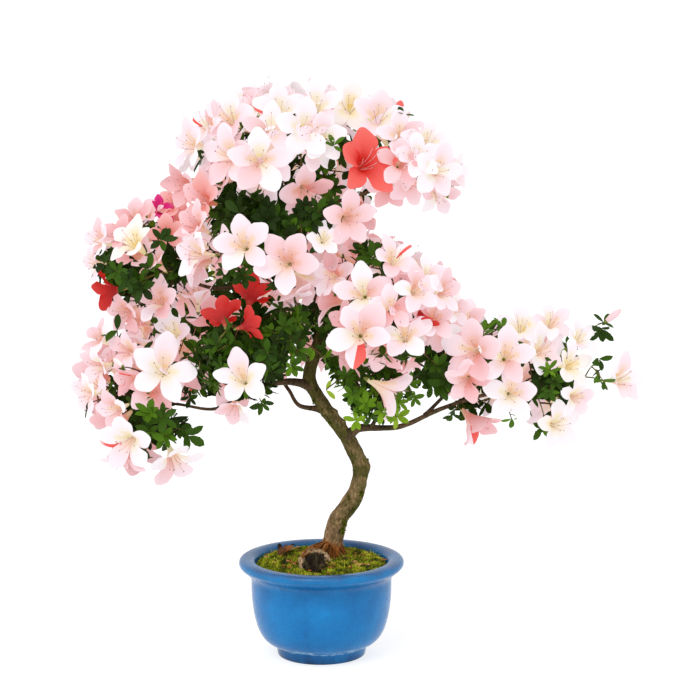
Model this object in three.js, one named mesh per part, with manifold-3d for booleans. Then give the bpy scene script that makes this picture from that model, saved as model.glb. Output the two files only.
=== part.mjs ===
// An azalea bonsai in full flower: a curved trunk, its boughs and their masses of leaves and blossom,
// growing in mossy soil in a round glazed pot.
// Millimetres, +Z up. The origin is the middle of the pot's flat underside, and the tree's front faces -Y.
import * as THREE from "three";
import { mergeVertices } from "three/addons/utils/BufferGeometryUtils.js";
import Module from "manifold-3d";

const wasm = await Module();
wasm.setup();

// Driving dimensions
const GAP = 0.3; // clearance between two pieces that meet
const POT = {
  height: 108, rim: 90, mouth: 72, neck: 76.5, foot: 50, footHeight: 12, wall: 6, floor: 16, sides: 32,
};
const DRAIN = { count: 3, radius: 5.5, circle: 24, sides: 10 };
const SOIL = { top: 105, edge: 100, flat: 46, sides: 24 };
// A whorl is a ring of petals or leaf blades: how far they reach, where they are widest and how wide there,
// as a share of the ring, and the heights of the throat, sides, tips and middle above the twig's tip.
const BLOSSOM = {
  blades: 5, reach: 31, widest: 0.72, half: 0.42, throat: 7.5, throatHeight: 9, sideHeight: 19, tipHeight: 13,
  middleHeight: 6,
};
const SPRAY = {
  blades: 5, reach: 34, widest: 0.58, half: 0.28, throat: 2.4, throatHeight: 2.5, sideHeight: 10.5,
  tipHeight: 13.5, middleHeight: 3.2,
};
const TWIG = { radius: 1.25, sides: 3, lift: 0.14, bentFrom: 40 };
const DRAWN_IN = { step: 0.07, least: 0.5 }; // how a tip draws in towards its mass's middle until it fits
const SMALLER = [1, 0.82]; // sizes that are tried there
const STEM = { sides: 5, steps: 4, endRadius: 1.7, joints: [0.35, 0.65, 1] };
const PATH_SHARE = 0.35; // how much a twig prefers a joint that is near the stem's foot
const LIMB_CLEAR = 0.9; // least distance from a leaf, petal or twig to a limb
const MASS_CLEAR = 0.6; // least distance from a leaf, petal or twig to the edge of its mass's space
const ROOT_LOBES = { count: 5, depth: 0.17, height: 26 }; // ridges of the root flare
const FIRST_SEED = 101; // seed of the first mass; each further mass takes the next number
const GOLDEN_ANGLE = Math.PI * (3 - Math.sqrt(5));
const CROWN_MIDDLE = new THREE.Vector3(0, 10, 400);
const UP = new THREE.Vector3(0, 0, 1);

const COLOURS = {
  pot: { color: 0x2a6fb0, roughness: 0.25, metalness: 0 },
  soil: { color: 0x6f8a25, roughness: 0.95, metalness: 0 },
  bark: { color: 0x6d5b41, roughness: 0.85, metalness: 0 },
  foliage: { color: 0xf0c4c8, roughness: 0.6, metalness: 0 },
};

// Each limb's line, as points [x, y, z, radius]. A bough starts inside its bearer and ends at its mass.
const LIMBS = {
  trunk: {
    sides: 10,
    stepLength: 13,
    points: [
      [8.5, 18, 99, 20],
      [10, 17.5, 110, 15],
      [13, 16.5, 125, 11.2],
      [19, 15, 147, 10],
      [35, 11, 171, 9.2],
      [42, 7, 196, 7.8],
      [41.5, 5, 212, 8.6],
      [27, 3, 242, 7.6],
      [2, 2, 277, 7.1],
      [-12.3, 4, 306, 6.9],
      [-5, 8, 337, 6.4],
      [5, 13, 368, 5.8],
      [-3, 12, 406, 4.8],
      [-22, 8, 450, 4],
      [-32, 4, 490, 3],
      [-36, 1, 514, 2.4],
    ],
  },
  bough_right_low: {
    bearer: "trunk",
    points: [
      [28, 3, 241, 6],
      [40, 0, 251, 4.6],
      [64, -5, 252.5, 3.5],
      [86, -8, 255, 3.1],
      [128, -10, 274, 2.7],
      [172, -6, 288, 2.3],
      [212, 0, 293, 1.9],
    ],
  },
  bough_right_inner: {
    bearer: "bough_right_low",
    points: [
      [54, -3, 252, 2.6],
      [58, -9, 262, 2],
      [59, -14, 272, 1.7],
    ],
  },
  bough_right_mid: {
    bearer: "bough_right_low",
    points: [
      [112, -10, 267, 2.5],
      [128, -5, 283, 2.1],
      [141, -2, 295, 1.8],
    ],
  },
  bough_left_low: {
    bearer: "trunk",
    points: [
      [-9, 3.5, 296, 5.5],
      [-24, -3, 302, 4.6],
      [-40, -10, 304, 3.8],
      [-72, -20, 297, 2.6],
      [-113, -22, 277, 2],
      [-152, -18, 281, 1.7],
    ],
  },
  bough_back_left: {
    bearer: "trunk",
    points: [
      [-1, 2, 272, 3.4],
      [-24, 9, 275, 2.5],
      [-36, 24, 290, 2.2],
      [-56, 48, 310, 2],
      [-78, 66, 322, 1.8],
    ],
  },
  bough_front: {
    bearer: "trunk",
    points: [
      [-7.5, 6.5, 325, 4],
      [-26, -14, 336, 3],
      [-44, -34, 350, 2.4],
      [-56, -46, 362, 2],
    ],
  },
  bough_mid_right: {
    bearer: "trunk",
    points: [
      [0, 10, 351, 4],
      [17, -2, 364, 3],
      [30, -12, 374, 2.3],
    ],
  },
  bough_back_right: {
    bearer: "trunk",
    points: [
      [4.5, 12.5, 362, 3.8],
      [20, 34, 370, 2.9],
      [38, 58, 376, 2.2],
      [50, 72, 380, 1.9],
    ],
  },
  bough_left_up: {
    bearer: "trunk",
    points: [
      [1, 12.5, 390, 4.2],
      [-33, 4, 404, 3.2],
      [-70, -4, 408, 2.7],
      [-113, -6, 405, 2.3],
      [-142, -4, 413, 1.9],
    ],
  },
  bough_upper: {
    bearer: "trunk",
    points: [
      [-13.5, 10, 431, 3.4],
      [-24, -6, 446, 2.6],
      [-34, -20, 456, 2.1],
    ],
  },
  bough_crown_back: {
    bearer: "trunk",
    points: [
      [-10, 10.5, 424, 3.2],
      [-16, 34, 446, 2.5],
      [-22, 58, 462, 2],
    ],
  },
  bough_top_right: {
    bearer: "trunk",
    points: [
      [-26, 6.5, 466, 3.2],
      [5, 2, 492, 2.5],
      [36, 0, 503, 2.1],
      [56, 0, 510, 1.8],
    ],
  },
};

// An old surface root that arches out of the moss in front of the trunk, as points [x, y, z, radius].
const SURFACE_ROOT = [
  [-18, -49, 98, 5],
  [-20.5, -38, 110, 4.6],
  [-15, -24, 119, 4.4],
  [-4, -17, 119, 4.4],
  [5, -13, 111, 4.8],
  [8, -12, 98, 5.6],
];

// Each mass of twigs, leaves and blossom: the limb whose tip it grows from, its middle, how far it reaches
// along X, Y and Z, and how many of its tips bear a blossom or a spray of leaves.
const MASSES = {
  crown_top: { limb: "trunk", middle: [-44, -6, 554], reach: [124, 92, 68], blossoms: 13, sprays: 4 },
  top_right: { limb: "bough_top_right", middle: [82, -6, 544], reach: [74, 70, 64], blossoms: 8, sprays: 3 },
  crown_back: { limb: "bough_crown_back", middle: [-30, 104, 480], reach: [104, 72, 78], blossoms: 8, sprays: 4 },
  upper: { limb: "bough_upper", middle: [-58, -52, 466], reach: [128, 68, 68], blossoms: 10, sprays: 5 },
  left_up: { limb: "bough_left_up", middle: [-188, 0, 428], reach: [74, 76, 66], blossoms: 8, sprays: 5 },
  left_low: { limb: "bough_left_low", middle: [-194, -8, 290], reach: [80, 78, 92], blossoms: 10, sprays: 5 },
  front: { limb: "bough_front", middle: [-70, -62, 350], reach: [92, 70, 70], blossoms: 6, sprays: 8 },
  mid_right: { limb: "bough_mid_right", middle: [72, -40, 394], reach: [80, 76, 78], blossoms: 9, sprays: 5 },
  right_mid: { limb: "bough_right_mid", middle: [168, 0, 318], reach: [66, 68, 70], blossoms: 8, sprays: 4 },
  right_far: { limb: "bough_right_low", middle: [262, 0, 306], reach: [82, 60, 78], blossoms: 8, sprays: 6 },
  right_inner: { limb: "bough_right_inner", middle: [46, -26, 296], reach: [66, 56, 48], blossoms: 2, sprays: 7 },
  back_left: { limb: "bough_back_left", middle: [-122, 94, 350], reach: [96, 72, 92], blossoms: 7, sprays: 5 },
  back_right: { limb: "bough_back_right", middle: [52, 110, 370], reach: [90, 72, 88], blossoms: 7, sprays: 5 },
};

const vector = ([x, y, z]) => new THREE.Vector3(x, y, z);

// Solids and meshes

function solidOf(geometry) {
  const bare = geometry.clone();
  bare.deleteAttribute("normal");
  bare.deleteAttribute("uv");
  const merged = mergeVertices(bare, 1e-4);
  return new wasm.Manifold(
    new wasm.Mesh({
      numProp: 3,
      vertProperties: new Float32Array(merged.attributes.position.array),
      triVerts: new Uint32Array(merged.index.array),
    }),
  );
}

// The largest closed shell of a solid, without loose scraps and with sealed hollows filled.
function mainBody(solid) {
  const bodies = solid.decompose();
  return bodies.reduce((best, body) => (body.volume() > best.volume() ? body : best));
}

function meshOf(name, solid, colour) {
  const { numProp, vertProperties, triVerts } = solid.getMesh();
  const geometry = new THREE.BufferGeometry();
  geometry.setAttribute("position", new THREE.InterleavedBufferAttribute(
    new THREE.InterleavedBuffer(vertProperties, numProp), 3, 0,
  ));
  geometry.setIndex(new THREE.BufferAttribute(triVerts, 1));
  const flat = geometry.toNonIndexed();
  flat.computeVertexNormals();
  const mesh = new THREE.Mesh(flat, new THREE.MeshStandardMaterial(COLOURS[colour]));
  mesh.name = name;
  return mesh;
}

// Limbs: a unit cylinder bent along a curve, with a radius that changes along it and round it

function bentCylinder(curve, radiusAt, sides, steps) {
  const geometry = new THREE.CylinderGeometry(1, 1, 1, sides, steps);
  const frames = curve.computeFrenetFrames(steps, false);
  const position = geometry.attributes.position;
  for (let i = 0; i < position.count; i++) {
    const along = position.getY(i) + 0.5;
    const step = Math.round(along * steps);
    const round = Math.hypot(position.getX(i), position.getZ(i));
    const angle = Math.atan2(position.getX(i), position.getZ(i));
    const point = curve.getPointAt(along);
    if (round > 1e-6) {
      const radius = radiusAt(curve.getUtoTmapping(along), angle, point);
      point.addScaledVector(frames.normals[step], radius * Math.cos(angle));
      point.addScaledVector(frames.binormals[step], radius * Math.sin(angle));
    }
    position.setXYZ(i, point.x, point.y, point.z);
  }
  return geometry;
}

// The radius at t on a line of points [x, y, z, radius].
function radiusOnLine(points, t) {
  const at = THREE.MathUtils.clamp(t, 0, 1) * (points.length - 1);
  const index = Math.min(Math.floor(at), points.length - 2);
  return THREE.MathUtils.lerp(points[index][3], points[index + 1][3], at - index);
}

function limbSolid({ points, sides = 6, stepLength = 17 }, grow, lobesAt = () => 1) {
  const curve = new THREE.CatmullRomCurve3(points.map(vector));
  const steps = Math.max(3, Math.round(curve.getLength() / stepLength));
  const radiusAt = (t, angle, point) => radiusOnLine(points, t) * lobesAt(angle, point) + grow;
  return solidOf(bentCylinder(curve, radiusAt, sides, steps));
}

// Ridges that run down into the roots, strongest at the ground and gone at the top of the flare.
function rootLobes(angle, point) {
  const height = THREE.MathUtils.clamp((point.z - SOIL.top) / ROOT_LOBES.height, 0, 1);
  return 1 + ROOT_LOBES.depth * (1 - height) * Math.cos(ROOT_LOBES.count * angle + 0.6);
}

// Everything below the ground, as one block to cut with.
function underground() {
  const depth = 60;
  const block = new THREE.BoxGeometry(2 * POT.rim, 2 * POT.rim, depth);
  block.translate(0, 0, SOIL.top + GAP - depth / 2);
  return solidOf(block);
}

function trunkSolid(grow = 0) {
  return mainBody(limbSolid(LIMBS.trunk, grow, rootLobes).subtract(underground()));
}

function boughSolid(name) {
  const { bearer } = LIMBS[name];
  const grown = bearer === "trunk" ? trunkSolid(GAP) : limbSolid(LIMBS[bearer], GAP);
  return mainBody(limbSolid(LIMBS[name], 0).subtract(grown));
}

function surfaceRootSolid() {
  const arch = limbSolid({ points: SURFACE_ROOT, sides: 8, stepLength: 9 }, 0);
  return mainBody(arch.subtract(underground()));
}

// The pot and its soil, turned round the Z axis

function lathe(path, divisions, sides) {
  const geometry = new THREE.LatheGeometry(path.getPoints(divisions), sides);
  return solidOf(geometry.rotateX(Math.PI / 2));
}

function potSolid() {
  const { height, rim, mouth, neck, foot, footHeight, wall, floor } = POT;
  const lipBottom = height - 24;
  const profile = new THREE.Path();
  profile.moveTo(0, 0);
  profile.lineTo(foot - 1.5, 0);
  profile.lineTo(foot, 2);
  profile.lineTo(foot, footHeight);
  profile.bezierCurveTo(foot + 17, footHeight + 3, neck - 3, footHeight + 22, neck - 0.5, lipBottom - 20);
  profile.lineTo(neck, lipBottom);
  profile.bezierCurveTo(neck + 1, height - 14, rim, height - 12, rim, height - 5.5);
  profile.bezierCurveTo(rim, height - 1, rim - 4, height, rim - 9, height);
  profile.bezierCurveTo(mouth + 4, height, mouth, height - 2, mouth, height - 6);
  profile.lineTo(neck - wall, lipBottom);
  profile.bezierCurveTo(neck - wall - 2, footHeight + 26, foot + 6, floor, foot - 6, floor);
  profile.lineTo(0, floor);
  let pot = lathe(profile, 3, POT.sides);
  for (let k = 0; k < DRAIN.count; k++) {
    const hole = new THREE.CylinderGeometry(DRAIN.radius, DRAIN.radius, 3 * floor, DRAIN.sides);
    const angle = (2 * Math.PI * k) / DRAIN.count;
    hole.rotateX(Math.PI / 2).translate(DRAIN.circle * Math.cos(angle), DRAIN.circle * Math.sin(angle), 0);
    pot = pot.subtract(solidOf(hole));
  }
  return mainBody(pot);
}

function soilSolid() {
  const { mouth, neck, foot, footHeight, height, wall, floor } = POT;
  const lipBottom = height - 24;
  const slack = 2 * GAP; // room for the facets of the two turned shapes
  const profile = new THREE.Path();
  profile.moveTo(0, floor + GAP);
  profile.lineTo(foot - 8, floor + GAP);
  profile.bezierCurveTo(
    foot + 4 - slack, floor + slack, neck - wall - 4, footHeight + 28, neck - wall - 2 * slack, lipBottom,
  );
  profile.lineTo(mouth - 2 * slack, SOIL.edge);
  profile.bezierCurveTo(mouth - 8, SOIL.edge + 3, SOIL.flat + 12, SOIL.top, SOIL.flat, SOIL.top);
  profile.lineTo(0, SOIL.top);
  return lathe(profile, 3, SOIL.sides);
}

// Blossoms and sprays of leaves

// The point at an angle round a centre, in the plane of two directions.
function pointRound(centre, across, beside, angle, radius) {
  const point = centre.clone().addScaledVector(across, radius * Math.cos(angle));
  return point.addScaledVector(beside, radius * Math.sin(angle));
}

// A twig along a curve that ends in a whorl, as one closed surface. The two faces of a blade meet at its rim.
function sprigGeometry(curve, steps, whorl, size, facing, roll) {
  const { blades, reach, widest, half, throat, throatHeight, sideHeight, tipHeight, middleHeight } = whorl;
  const points = [];
  const faces = [];
  const put = (point) => points.push(point) - 1;

  const { sides } = TWIG;
  const frames = curve.computeFrenetFrames(steps, false);
  const rings = frames.normals.map((normal, step) => {
    const centre = curve.getPointAt(step / steps);
    const radius = TWIG.radius * (1.25 - (0.5 * step) / steps);
    return Array.from({ length: sides }, (_, k) =>
      put(pointRound(centre, normal, frames.binormals[step], (2 * Math.PI * k) / sides, radius)),
    );
  });
  faces.push(...[...rings[0]].reverse());
  for (let step = 0; step < steps; step++)
    for (let k = 0; k < sides; k++) {
      const next = (k + 1) % sides;
      const [low, high] = [rings[step], rings[step + 1]];
      faces.push(low[k], low[next], high[next], low[k], high[next], high[k]);
    }

  const tip = curve.getPointAt(1);
  const across = frames.normals[steps].clone().projectOnPlane(facing).normalize();
  const beside = facing.clone().cross(across);
  const at = (radius, angle, height) =>
    put(pointRound(tip.clone().addScaledVector(facing, height * size), across, beside, angle, radius * size));
  const turn = (2 * Math.PI) / blades;
  const neck = rings[steps];
  const neckNear = (k) => Math.round(((roll + k * turn) * sides) / (2 * Math.PI)) % sides;
  const front = at(0, 0, middleHeight);
  const corners = Array.from({ length: blades }, (_, k) => {
    const angle = roll + k * turn;
    return {
      notch: at(throat, angle - turn / 2, throatHeight),
      left: at(widest * reach, angle - half * turn, sideHeight),
      tip: at(reach, angle, tipHeight),
      right: at(widest * reach, angle + half * turn, sideHeight),
    };
  });
  corners.forEach(({ notch, left, tip: end, right }, k) => {
    const next = corners[(k + 1) % blades].notch;
    const [near, after] = [neck[neckNear(k)], neck[neckNear(k + 1)]];
    faces.push(front, notch, left, front, left, right, left, end, right, front, right, next);
    faces.push(notch, next, end, notch, end, left, next, right, end);
    faces.push(near, next, notch);
    if (after !== near) faces.push(near, after, next);
  });
  const geometry = new THREE.BufferGeometry().setFromPoints(points);
  geometry.setIndex(faces);
  return geometry;
}

// The space of each mass

// A mass's weight in sharing the crown: a mass that reaches further takes more room.
const weightOf = ({ reach }) => (reach[0] ** 2 + reach[1] ** 2 + reach[2] ** 2) / 3;

// The distance from a point to the flat border between a mass and another, above 0 on the mass's own side.
function insideBorder(point, mass, other) {
  const own = vector(mass.middle);
  const theirs = vector(other.middle);
  const powerOwn = point.distanceToSquared(own) - weightOf(mass);
  const powerTheirs = point.distanceToSquared(theirs) - weightOf(other);
  return (powerTheirs - powerOwn) / (2 * own.distanceTo(theirs));
}

// Points over every face of a piece, close enough together that no limb slips between them.
function pointsOver(geometry, spacing = 4) {
  const flat = geometry.index ? geometry.toNonIndexed() : geometry;
  const position = flat.attributes.position;
  const corner = (i) => new THREE.Vector3().fromBufferAttribute(position, i);
  const points = [];
  for (let i = 0; i < position.count; i += 3) {
    const [a, b, c] = [corner(i), corner(i + 1), corner(i + 2)];
    const longest = Math.max(a.distanceTo(b), b.distanceTo(c), c.distanceTo(a));
    const parts = Math.max(1, Math.ceil(longest / spacing));
    for (let u = 0; u <= parts; u++)
      for (let v = 0; v <= parts - u; v++) {
        const w = parts - u - v;
        points.push(
          a.clone().multiplyScalar(u / parts).addScaledVector(b, v / parts).addScaledVector(c, w / parts),
        );
      }
  }
  return points;
}

// Balls along a curve, as room that foliage keeps out of.
function ballsAlong(curve, radiusAt, owner) {
  const count = Math.ceil(curve.getLength() / 2);
  return Array.from({ length: count + 1 }, (_, k) => {
    const t = curve.getUtoTmapping(k / count);
    return { middle: curve.getPoint(t), radius: radiusAt(t) + LIMB_CLEAR, owner };
  });
}

// The stem of a mass runs on from its limb's tip to the middle of the mass.
function stemOf({ limb, middle }) {
  const { points } = LIMBS[limb];
  const line = new THREE.CatmullRomCurve3(points.map(vector));
  const ahead = line.getTangent(1);
  const foot = line.getPoint(1).addScaledVector(ahead, GAP);
  const end = vector(middle);
  const bend = foot.clone().addScaledVector(ahead, 0.5 * foot.distanceTo(end));
  const footRadius = radiusOnLine(points, 1);
  return {
    curve: new THREE.QuadraticBezierCurve3(foot, bend, end),
    radiusAt: (t) => THREE.MathUtils.lerp(footRadius, STEM.endRadius, t),
  };
}

// The room of every limb, and of every stem for the masses that it doesn't belong to.
const WOOD = [
  ...Object.values(LIMBS).flatMap(({ points }) =>
    ballsAlong(new THREE.CatmullRomCurve3(points.map(vector)), (t) => radiusOnLine(points, t), null),
  ),
  ...Object.values(MASSES).flatMap((mass) => {
    const { curve, radiusAt } = stemOf(mass);
    return ballsAlong(curve, radiusAt, mass);
  }),
];

// Whether points keep to a mass's side of its borders with the other masses.
function onOwnSide(points, mass) {
  const others = Object.values(MASSES).filter((other) => other !== mass);
  return points.every((point) => others.every((other) => insideBorder(point, mass, other) > MASS_CLEAR));
}

function keepsToSpace(geometry, mass) {
  const points = pointsOver(geometry);
  if (!onOwnSide(points, mass)) return false;
  const room = new THREE.Box3().setFromPoints(points);
  const near = WOOD.filter(
    ({ middle, radius, owner }) => owner !== mass && room.distanceToPoint(middle) < radius,
  );
  return points.every((point) =>
    near.every(({ middle, radius }) => point.distanceToSquared(middle) > radius ** 2),
  );
}

// Growing a mass

// A seeded draw of numbers from 0 to 1.
function seededDraw(seed) {
  let state = seed;
  return () => {
    state = (state + 0x6d2b79f5) | 0;
    let mixed = Math.imul(state ^ (state >>> 15), 1 | state);
    mixed = (mixed + Math.imul(mixed ^ (mixed >>> 7), 61 | mixed)) ^ mixed;
    return ((mixed ^ (mixed >>> 14)) >>> 0) / 4294967296;
  };
}

// Tips spread evenly round the mass. Those that face up and out of the crown bear blossom, the rest leaves.
function spreadTips(mass, draw) {
  const middle = vector(mass.middle);
  const light = middle.clone().sub(CROWN_MIDDLE).normalize().addScaledVector(UP, 0.9).normalize();
  const count = mass.blossoms + mass.sprays;
  const turn = 2 * Math.PI * draw();
  const tips = [];
  for (let k = 0; k < count; k++) {
    const height = 1 - (2 * k + 1) / count;
    const angle = turn + k * GOLDEN_ANGLE;
    const level = Math.sqrt(1 - height * height);
    const way = new THREE.Vector3(level * Math.cos(angle), level * Math.sin(angle), height);
    const lit = way.dot(light) + 0.5 * (draw() - 0.5);
    tips.push({
      way,
      lit,
      roll: 2 * Math.PI * draw(),
      size: 0.9 + 0.18 * draw(),
      tilt: 0.6 * (draw() - 0.5),
      far: 0.84 + 0.18 * draw(),
    });
  }
  const ranked = [...tips].sort((a, b) => b.lit - a.lit);
  ranked.forEach((tip, rank) => {
    tip.blossom = rank < mass.blossoms;
    const whorl = tip.blossom ? BLOSSOM : SPRAY;
    const reach = vector(mass.reach).subScalar(whorl.sideHeight);
    tip.point = tip.way.clone().multiply(reach).multiplyScalar(tip.far).add(middle);
    tip.facing = tip.way.clone().multiply(reach).normalize().addScaledVector(UP, 0.25 + tip.tilt).normalize();
  });
  return tips;
}

// The joint that a twig grows from: near its tip, and not far along the wood from the stem's foot.
function bestJoint(joints, point) {
  const cost = (joint) => joint.point.distanceTo(point) + PATH_SHARE * joint.path;
  return joints.reduce((best, joint) => (cost(joint) < cost(best) ? joint : best));
}

function twigCurve(from, to) {
  const bend = from.clone().lerp(to, 0.5).addScaledVector(UP, TWIG.lift * from.distanceTo(to));
  return new THREE.QuadraticBezierCurve3(from, bend, to);
}

// The twig to a tip and the blossom or spray of leaves on it, drawn in where it would leave the mass's space.
function grownTip(tip, mass, joints) {
  const middle = vector(mass.middle);
  for (let share = 1; share > DRAWN_IN.least; share -= DRAWN_IN.step) {
    const point = middle.clone().lerp(tip.point, share);
    const joint = bestJoint(joints, point);
    const curve = twigCurve(joint.point, point);
    const steps = curve.getLength() > TWIG.bentFrom ? 2 : 1;
    const facing = tip.facing.clone().addScaledVector(curve.getTangent(1), 0.5).normalize();
    for (const smaller of SMALLER) {
      const whorl = tip.blossom ? BLOSSOM : SPRAY;
      const sprig = sprigGeometry(curve, steps, whorl, smaller * tip.size, facing, tip.roll);
      if (!keepsToSpace(sprig, mass)) continue;
      const halfway = steps > 1 ? curve.getPointAt(0.5) : joint.point.clone().lerp(point, 0.5);
      return { sprig, half: { point: halfway, path: joint.path + curve.getLength() / 2 } };
    }
  }
  return null;
}

function massSolid(mass, seed) {
  const { curve: stem, radiusAt } = stemOf(mass);
  const pieces = [solidOf(bentCylinder(stem, radiusAt, STEM.sides, STEM.steps))];
  const joints = STEM.joints
    .map((t) => ({ point: stem.getPoint(t), path: t * stem.getLength() }))
    .filter(({ point }) => onOwnSide([point], mass));
  const tips = spreadTips(mass, seededDraw(seed));
  const foot = stem.getPoint(0);
  tips.sort((a, b) => a.point.distanceTo(foot) - b.point.distanceTo(foot));
  for (const tip of tips) {
    const grown = grownTip(tip, mass, joints);
    if (!grown) continue;
    pieces.push(solidOf(grown.sprig));
    joints.push(grown.half);
  }
  return mainBody(wasm.Manifold.union(pieces));
}

// The whole plant in its pot

const bonsai = new THREE.Group();
bonsai.name = "azalea_bonsai";

bonsai.add(meshOf("pot", potSolid(), "pot"));
bonsai.add(meshOf("mossy_soil", soilSolid(), "soil"));
bonsai.add(meshOf("trunk", trunkSolid(), "bark"));
bonsai.add(meshOf("surface_root", surfaceRootSolid(), "bark"));
Object.keys(LIMBS)
  .filter((name) => LIMBS[name].bearer)
  .forEach((name) => bonsai.add(meshOf(name, boughSolid(name), "bark")));
Object.entries(MASSES).forEach(([name, mass], index) =>
  bonsai.add(meshOf(`mass_${name}`, massSolid(mass, FIRST_SEED + index), "foliage")),
);

export default bonsai;
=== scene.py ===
import math
from collections import namedtuple

import bpy
import numpy as np
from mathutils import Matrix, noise


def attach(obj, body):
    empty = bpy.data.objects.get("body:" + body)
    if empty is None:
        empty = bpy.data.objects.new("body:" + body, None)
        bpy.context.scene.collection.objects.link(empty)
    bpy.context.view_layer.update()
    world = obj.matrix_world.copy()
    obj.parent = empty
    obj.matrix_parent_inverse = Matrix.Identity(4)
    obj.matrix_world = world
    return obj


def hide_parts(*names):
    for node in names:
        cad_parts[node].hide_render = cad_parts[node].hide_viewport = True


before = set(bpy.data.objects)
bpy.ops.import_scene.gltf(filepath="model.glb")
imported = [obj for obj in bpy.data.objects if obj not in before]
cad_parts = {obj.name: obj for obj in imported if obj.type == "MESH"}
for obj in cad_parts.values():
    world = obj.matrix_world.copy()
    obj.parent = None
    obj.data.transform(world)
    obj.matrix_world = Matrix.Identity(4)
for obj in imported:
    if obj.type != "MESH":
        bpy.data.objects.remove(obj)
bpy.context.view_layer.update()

MM = 0.001
UP = np.array([0.0, 0.0, 1.0])
GOLDEN_ANGLE = math.pi * (3 - math.sqrt(5))

# The camera, at the photograph's viewing angle
CAMERA_PLACE = np.array([31.3, -2500.0, 743.0])
CAMERA_DIP = math.radians(9.22)
FOCAL_PIXELS = 2351.0
IMAGE_SIZE = 700
SENSOR_WIDTH = 36.0
AHEAD = np.array([0.0, math.cos(CAMERA_DIP), -math.sin(CAMERA_DIP)])
OVERHEAD = np.array([0.0, math.sin(CAMERA_DIP), math.cos(CAMERA_DIP)])
RIGHT = np.array([1.0, 0.0, 0.0])

# Pot and soil, as in the CAD model
POT_HEIGHT = 108.0
POT_RIM = 90.0
POT_MOUTH = 72.0
POT_NECK = 76.5
POT_FOOT = 50.0
POT_FOOT_HEIGHT = 12.0
POT_WALL = 6.0
POT_FLOOR = 16.0
POT_LIP_BOTTOM = POT_HEIGHT - 24
POT_SIDES = 160
DRAIN_COUNT = 3
DRAIN_RADIUS = 5.5
DRAIN_CIRCLE = 24.0
SOIL_TOP = 105.0
SOIL_EDGE = 100.0
SOIL_FLAT = 46.0

# Limbs, as points (x, y, z, radius), as in the CAD model
LIMBS = {
    "trunk": [
        (8.5, 18, 99, 20), (10, 17.5, 110, 15), (13, 16.5, 125, 11.2), (19, 15, 147, 10),
        (35, 11, 171, 9.2), (42, 7, 196, 7.8), (41.5, 5, 212, 8.6), (27, 3, 242, 7.6),
        (2, 2, 277, 7.1), (-12.3, 4, 306, 6.9), (-5, 8, 337, 6.4), (5, 13, 368, 5.8),
        (-3, 12, 406, 4.8), (-22, 8, 450, 4), (-32, 4, 490, 3), (-36, 1, 514, 2.4),
    ],
    "bough_right_low": [
        (28, 3, 241, 6), (40, 0, 251, 4.6), (64, -5, 252.5, 3.5), (86, -8, 255, 3.1),
        (128, -10, 274, 2.7), (172, -6, 288, 2.3), (212, 0, 293, 1.9),
    ],
    "bough_right_inner": [(54, -3, 252, 2.6), (58, -9, 262, 2), (59, -14, 272, 1.7)],
    "bough_right_mid": [(112, -10, 267, 2.5), (128, -5, 283, 2.1), (141, -2, 295, 1.8)],
    "bough_left_low": [
        (-9, 3.5, 296, 5.5), (-24, -3, 302, 4.6), (-40, -10, 304, 3.8), (-72, -20, 297, 2.6),
        (-113, -22, 277, 2), (-152, -18, 281, 1.7),
    ],
    "bough_back_left": [
        (-1, 2, 272, 3.4), (-24, 9, 275, 2.5), (-36, 24, 290, 2.2), (-56, 48, 310, 2), (-78, 66, 322, 1.8),
    ],
    "bough_front": [(-7.5, 6.5, 325, 4), (-26, -14, 336, 3), (-44, -34, 350, 2.4), (-56, -46, 362, 2)],
    "bough_mid_right": [(0, 10, 351, 4), (17, -2, 364, 3), (30, -12, 374, 2.3)],
    "bough_back_right": [(4.5, 12.5, 362, 3.8), (20, 34, 370, 2.9), (38, 58, 376, 2.2), (50, 72, 380, 1.9)],
    "bough_left_up": [
        (1, 12.5, 390, 4.2), (-33, 4, 404, 3.2), (-70, -4, 408, 2.7), (-113, -6, 405, 2.3),
        (-142, -4, 413, 1.9),
    ],
    "bough_upper": [(-13.5, 10, 431, 3.4), (-24, -6, 446, 2.6), (-34, -20, 456, 2.1)],
    "bough_crown_back": [(-10, 10.5, 424, 3.2), (-16, 34, 446, 2.5), (-22, 58, 462, 2)],
    "bough_top_right": [(-26, 6.5, 466, 3.2), (5, 2, 492, 2.5), (36, 0, 503, 2.1), (56, 0, 510, 1.8)],
}
SURFACE_ROOT = [
    (-18, -49, 98, 5), (-20.5, -38, 110, 4.6), (-15, -24, 119, 4.4), (-4, -17, 119, 4.4),
    (5, -13, 111, 4.8), (8, -12, 98, 5.6),
]

# Masses of foliage, as in the CAD model
Mass = namedtuple("Mass", "limb middle reach blossoms sprays")
MASSES = {
    "crown_top": Mass("trunk", (-44, -6, 554), (124, 92, 68), 13, 4),
    "top_right": Mass("bough_top_right", (82, -6, 544), (74, 70, 64), 8, 3),
    "crown_back": Mass("bough_crown_back", (-30, 104, 480), (104, 72, 78), 8, 4),
    "upper": Mass("bough_upper", (-58, -52, 466), (128, 68, 68), 10, 5),
    "left_up": Mass("bough_left_up", (-188, 0, 428), (74, 76, 66), 8, 5),
    "left_low": Mass("bough_left_low", (-194, -8, 290), (80, 78, 92), 10, 5),
    "front": Mass("bough_front", (-70, -62, 350), (92, 70, 70), 6, 8),
    "mid_right": Mass("bough_mid_right", (72, -40, 394), (80, 76, 78), 9, 5),
    "right_mid": Mass("bough_right_mid", (168, 0, 318), (66, 68, 70), 8, 4),
    "right_far": Mass("bough_right_low", (262, 0, 306), (82, 60, 78), 8, 6),
    "right_inner": Mass("bough_right_inner", (46, -26, 296), (66, 56, 48), 2, 7),
    "back_left": Mass("bough_back_left", (-122, 94, 350), (96, 72, 92), 7, 5),
    "back_right": Mass("bough_back_right", (52, 110, 370), (90, 72, 88), 7, 5),
}
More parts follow.
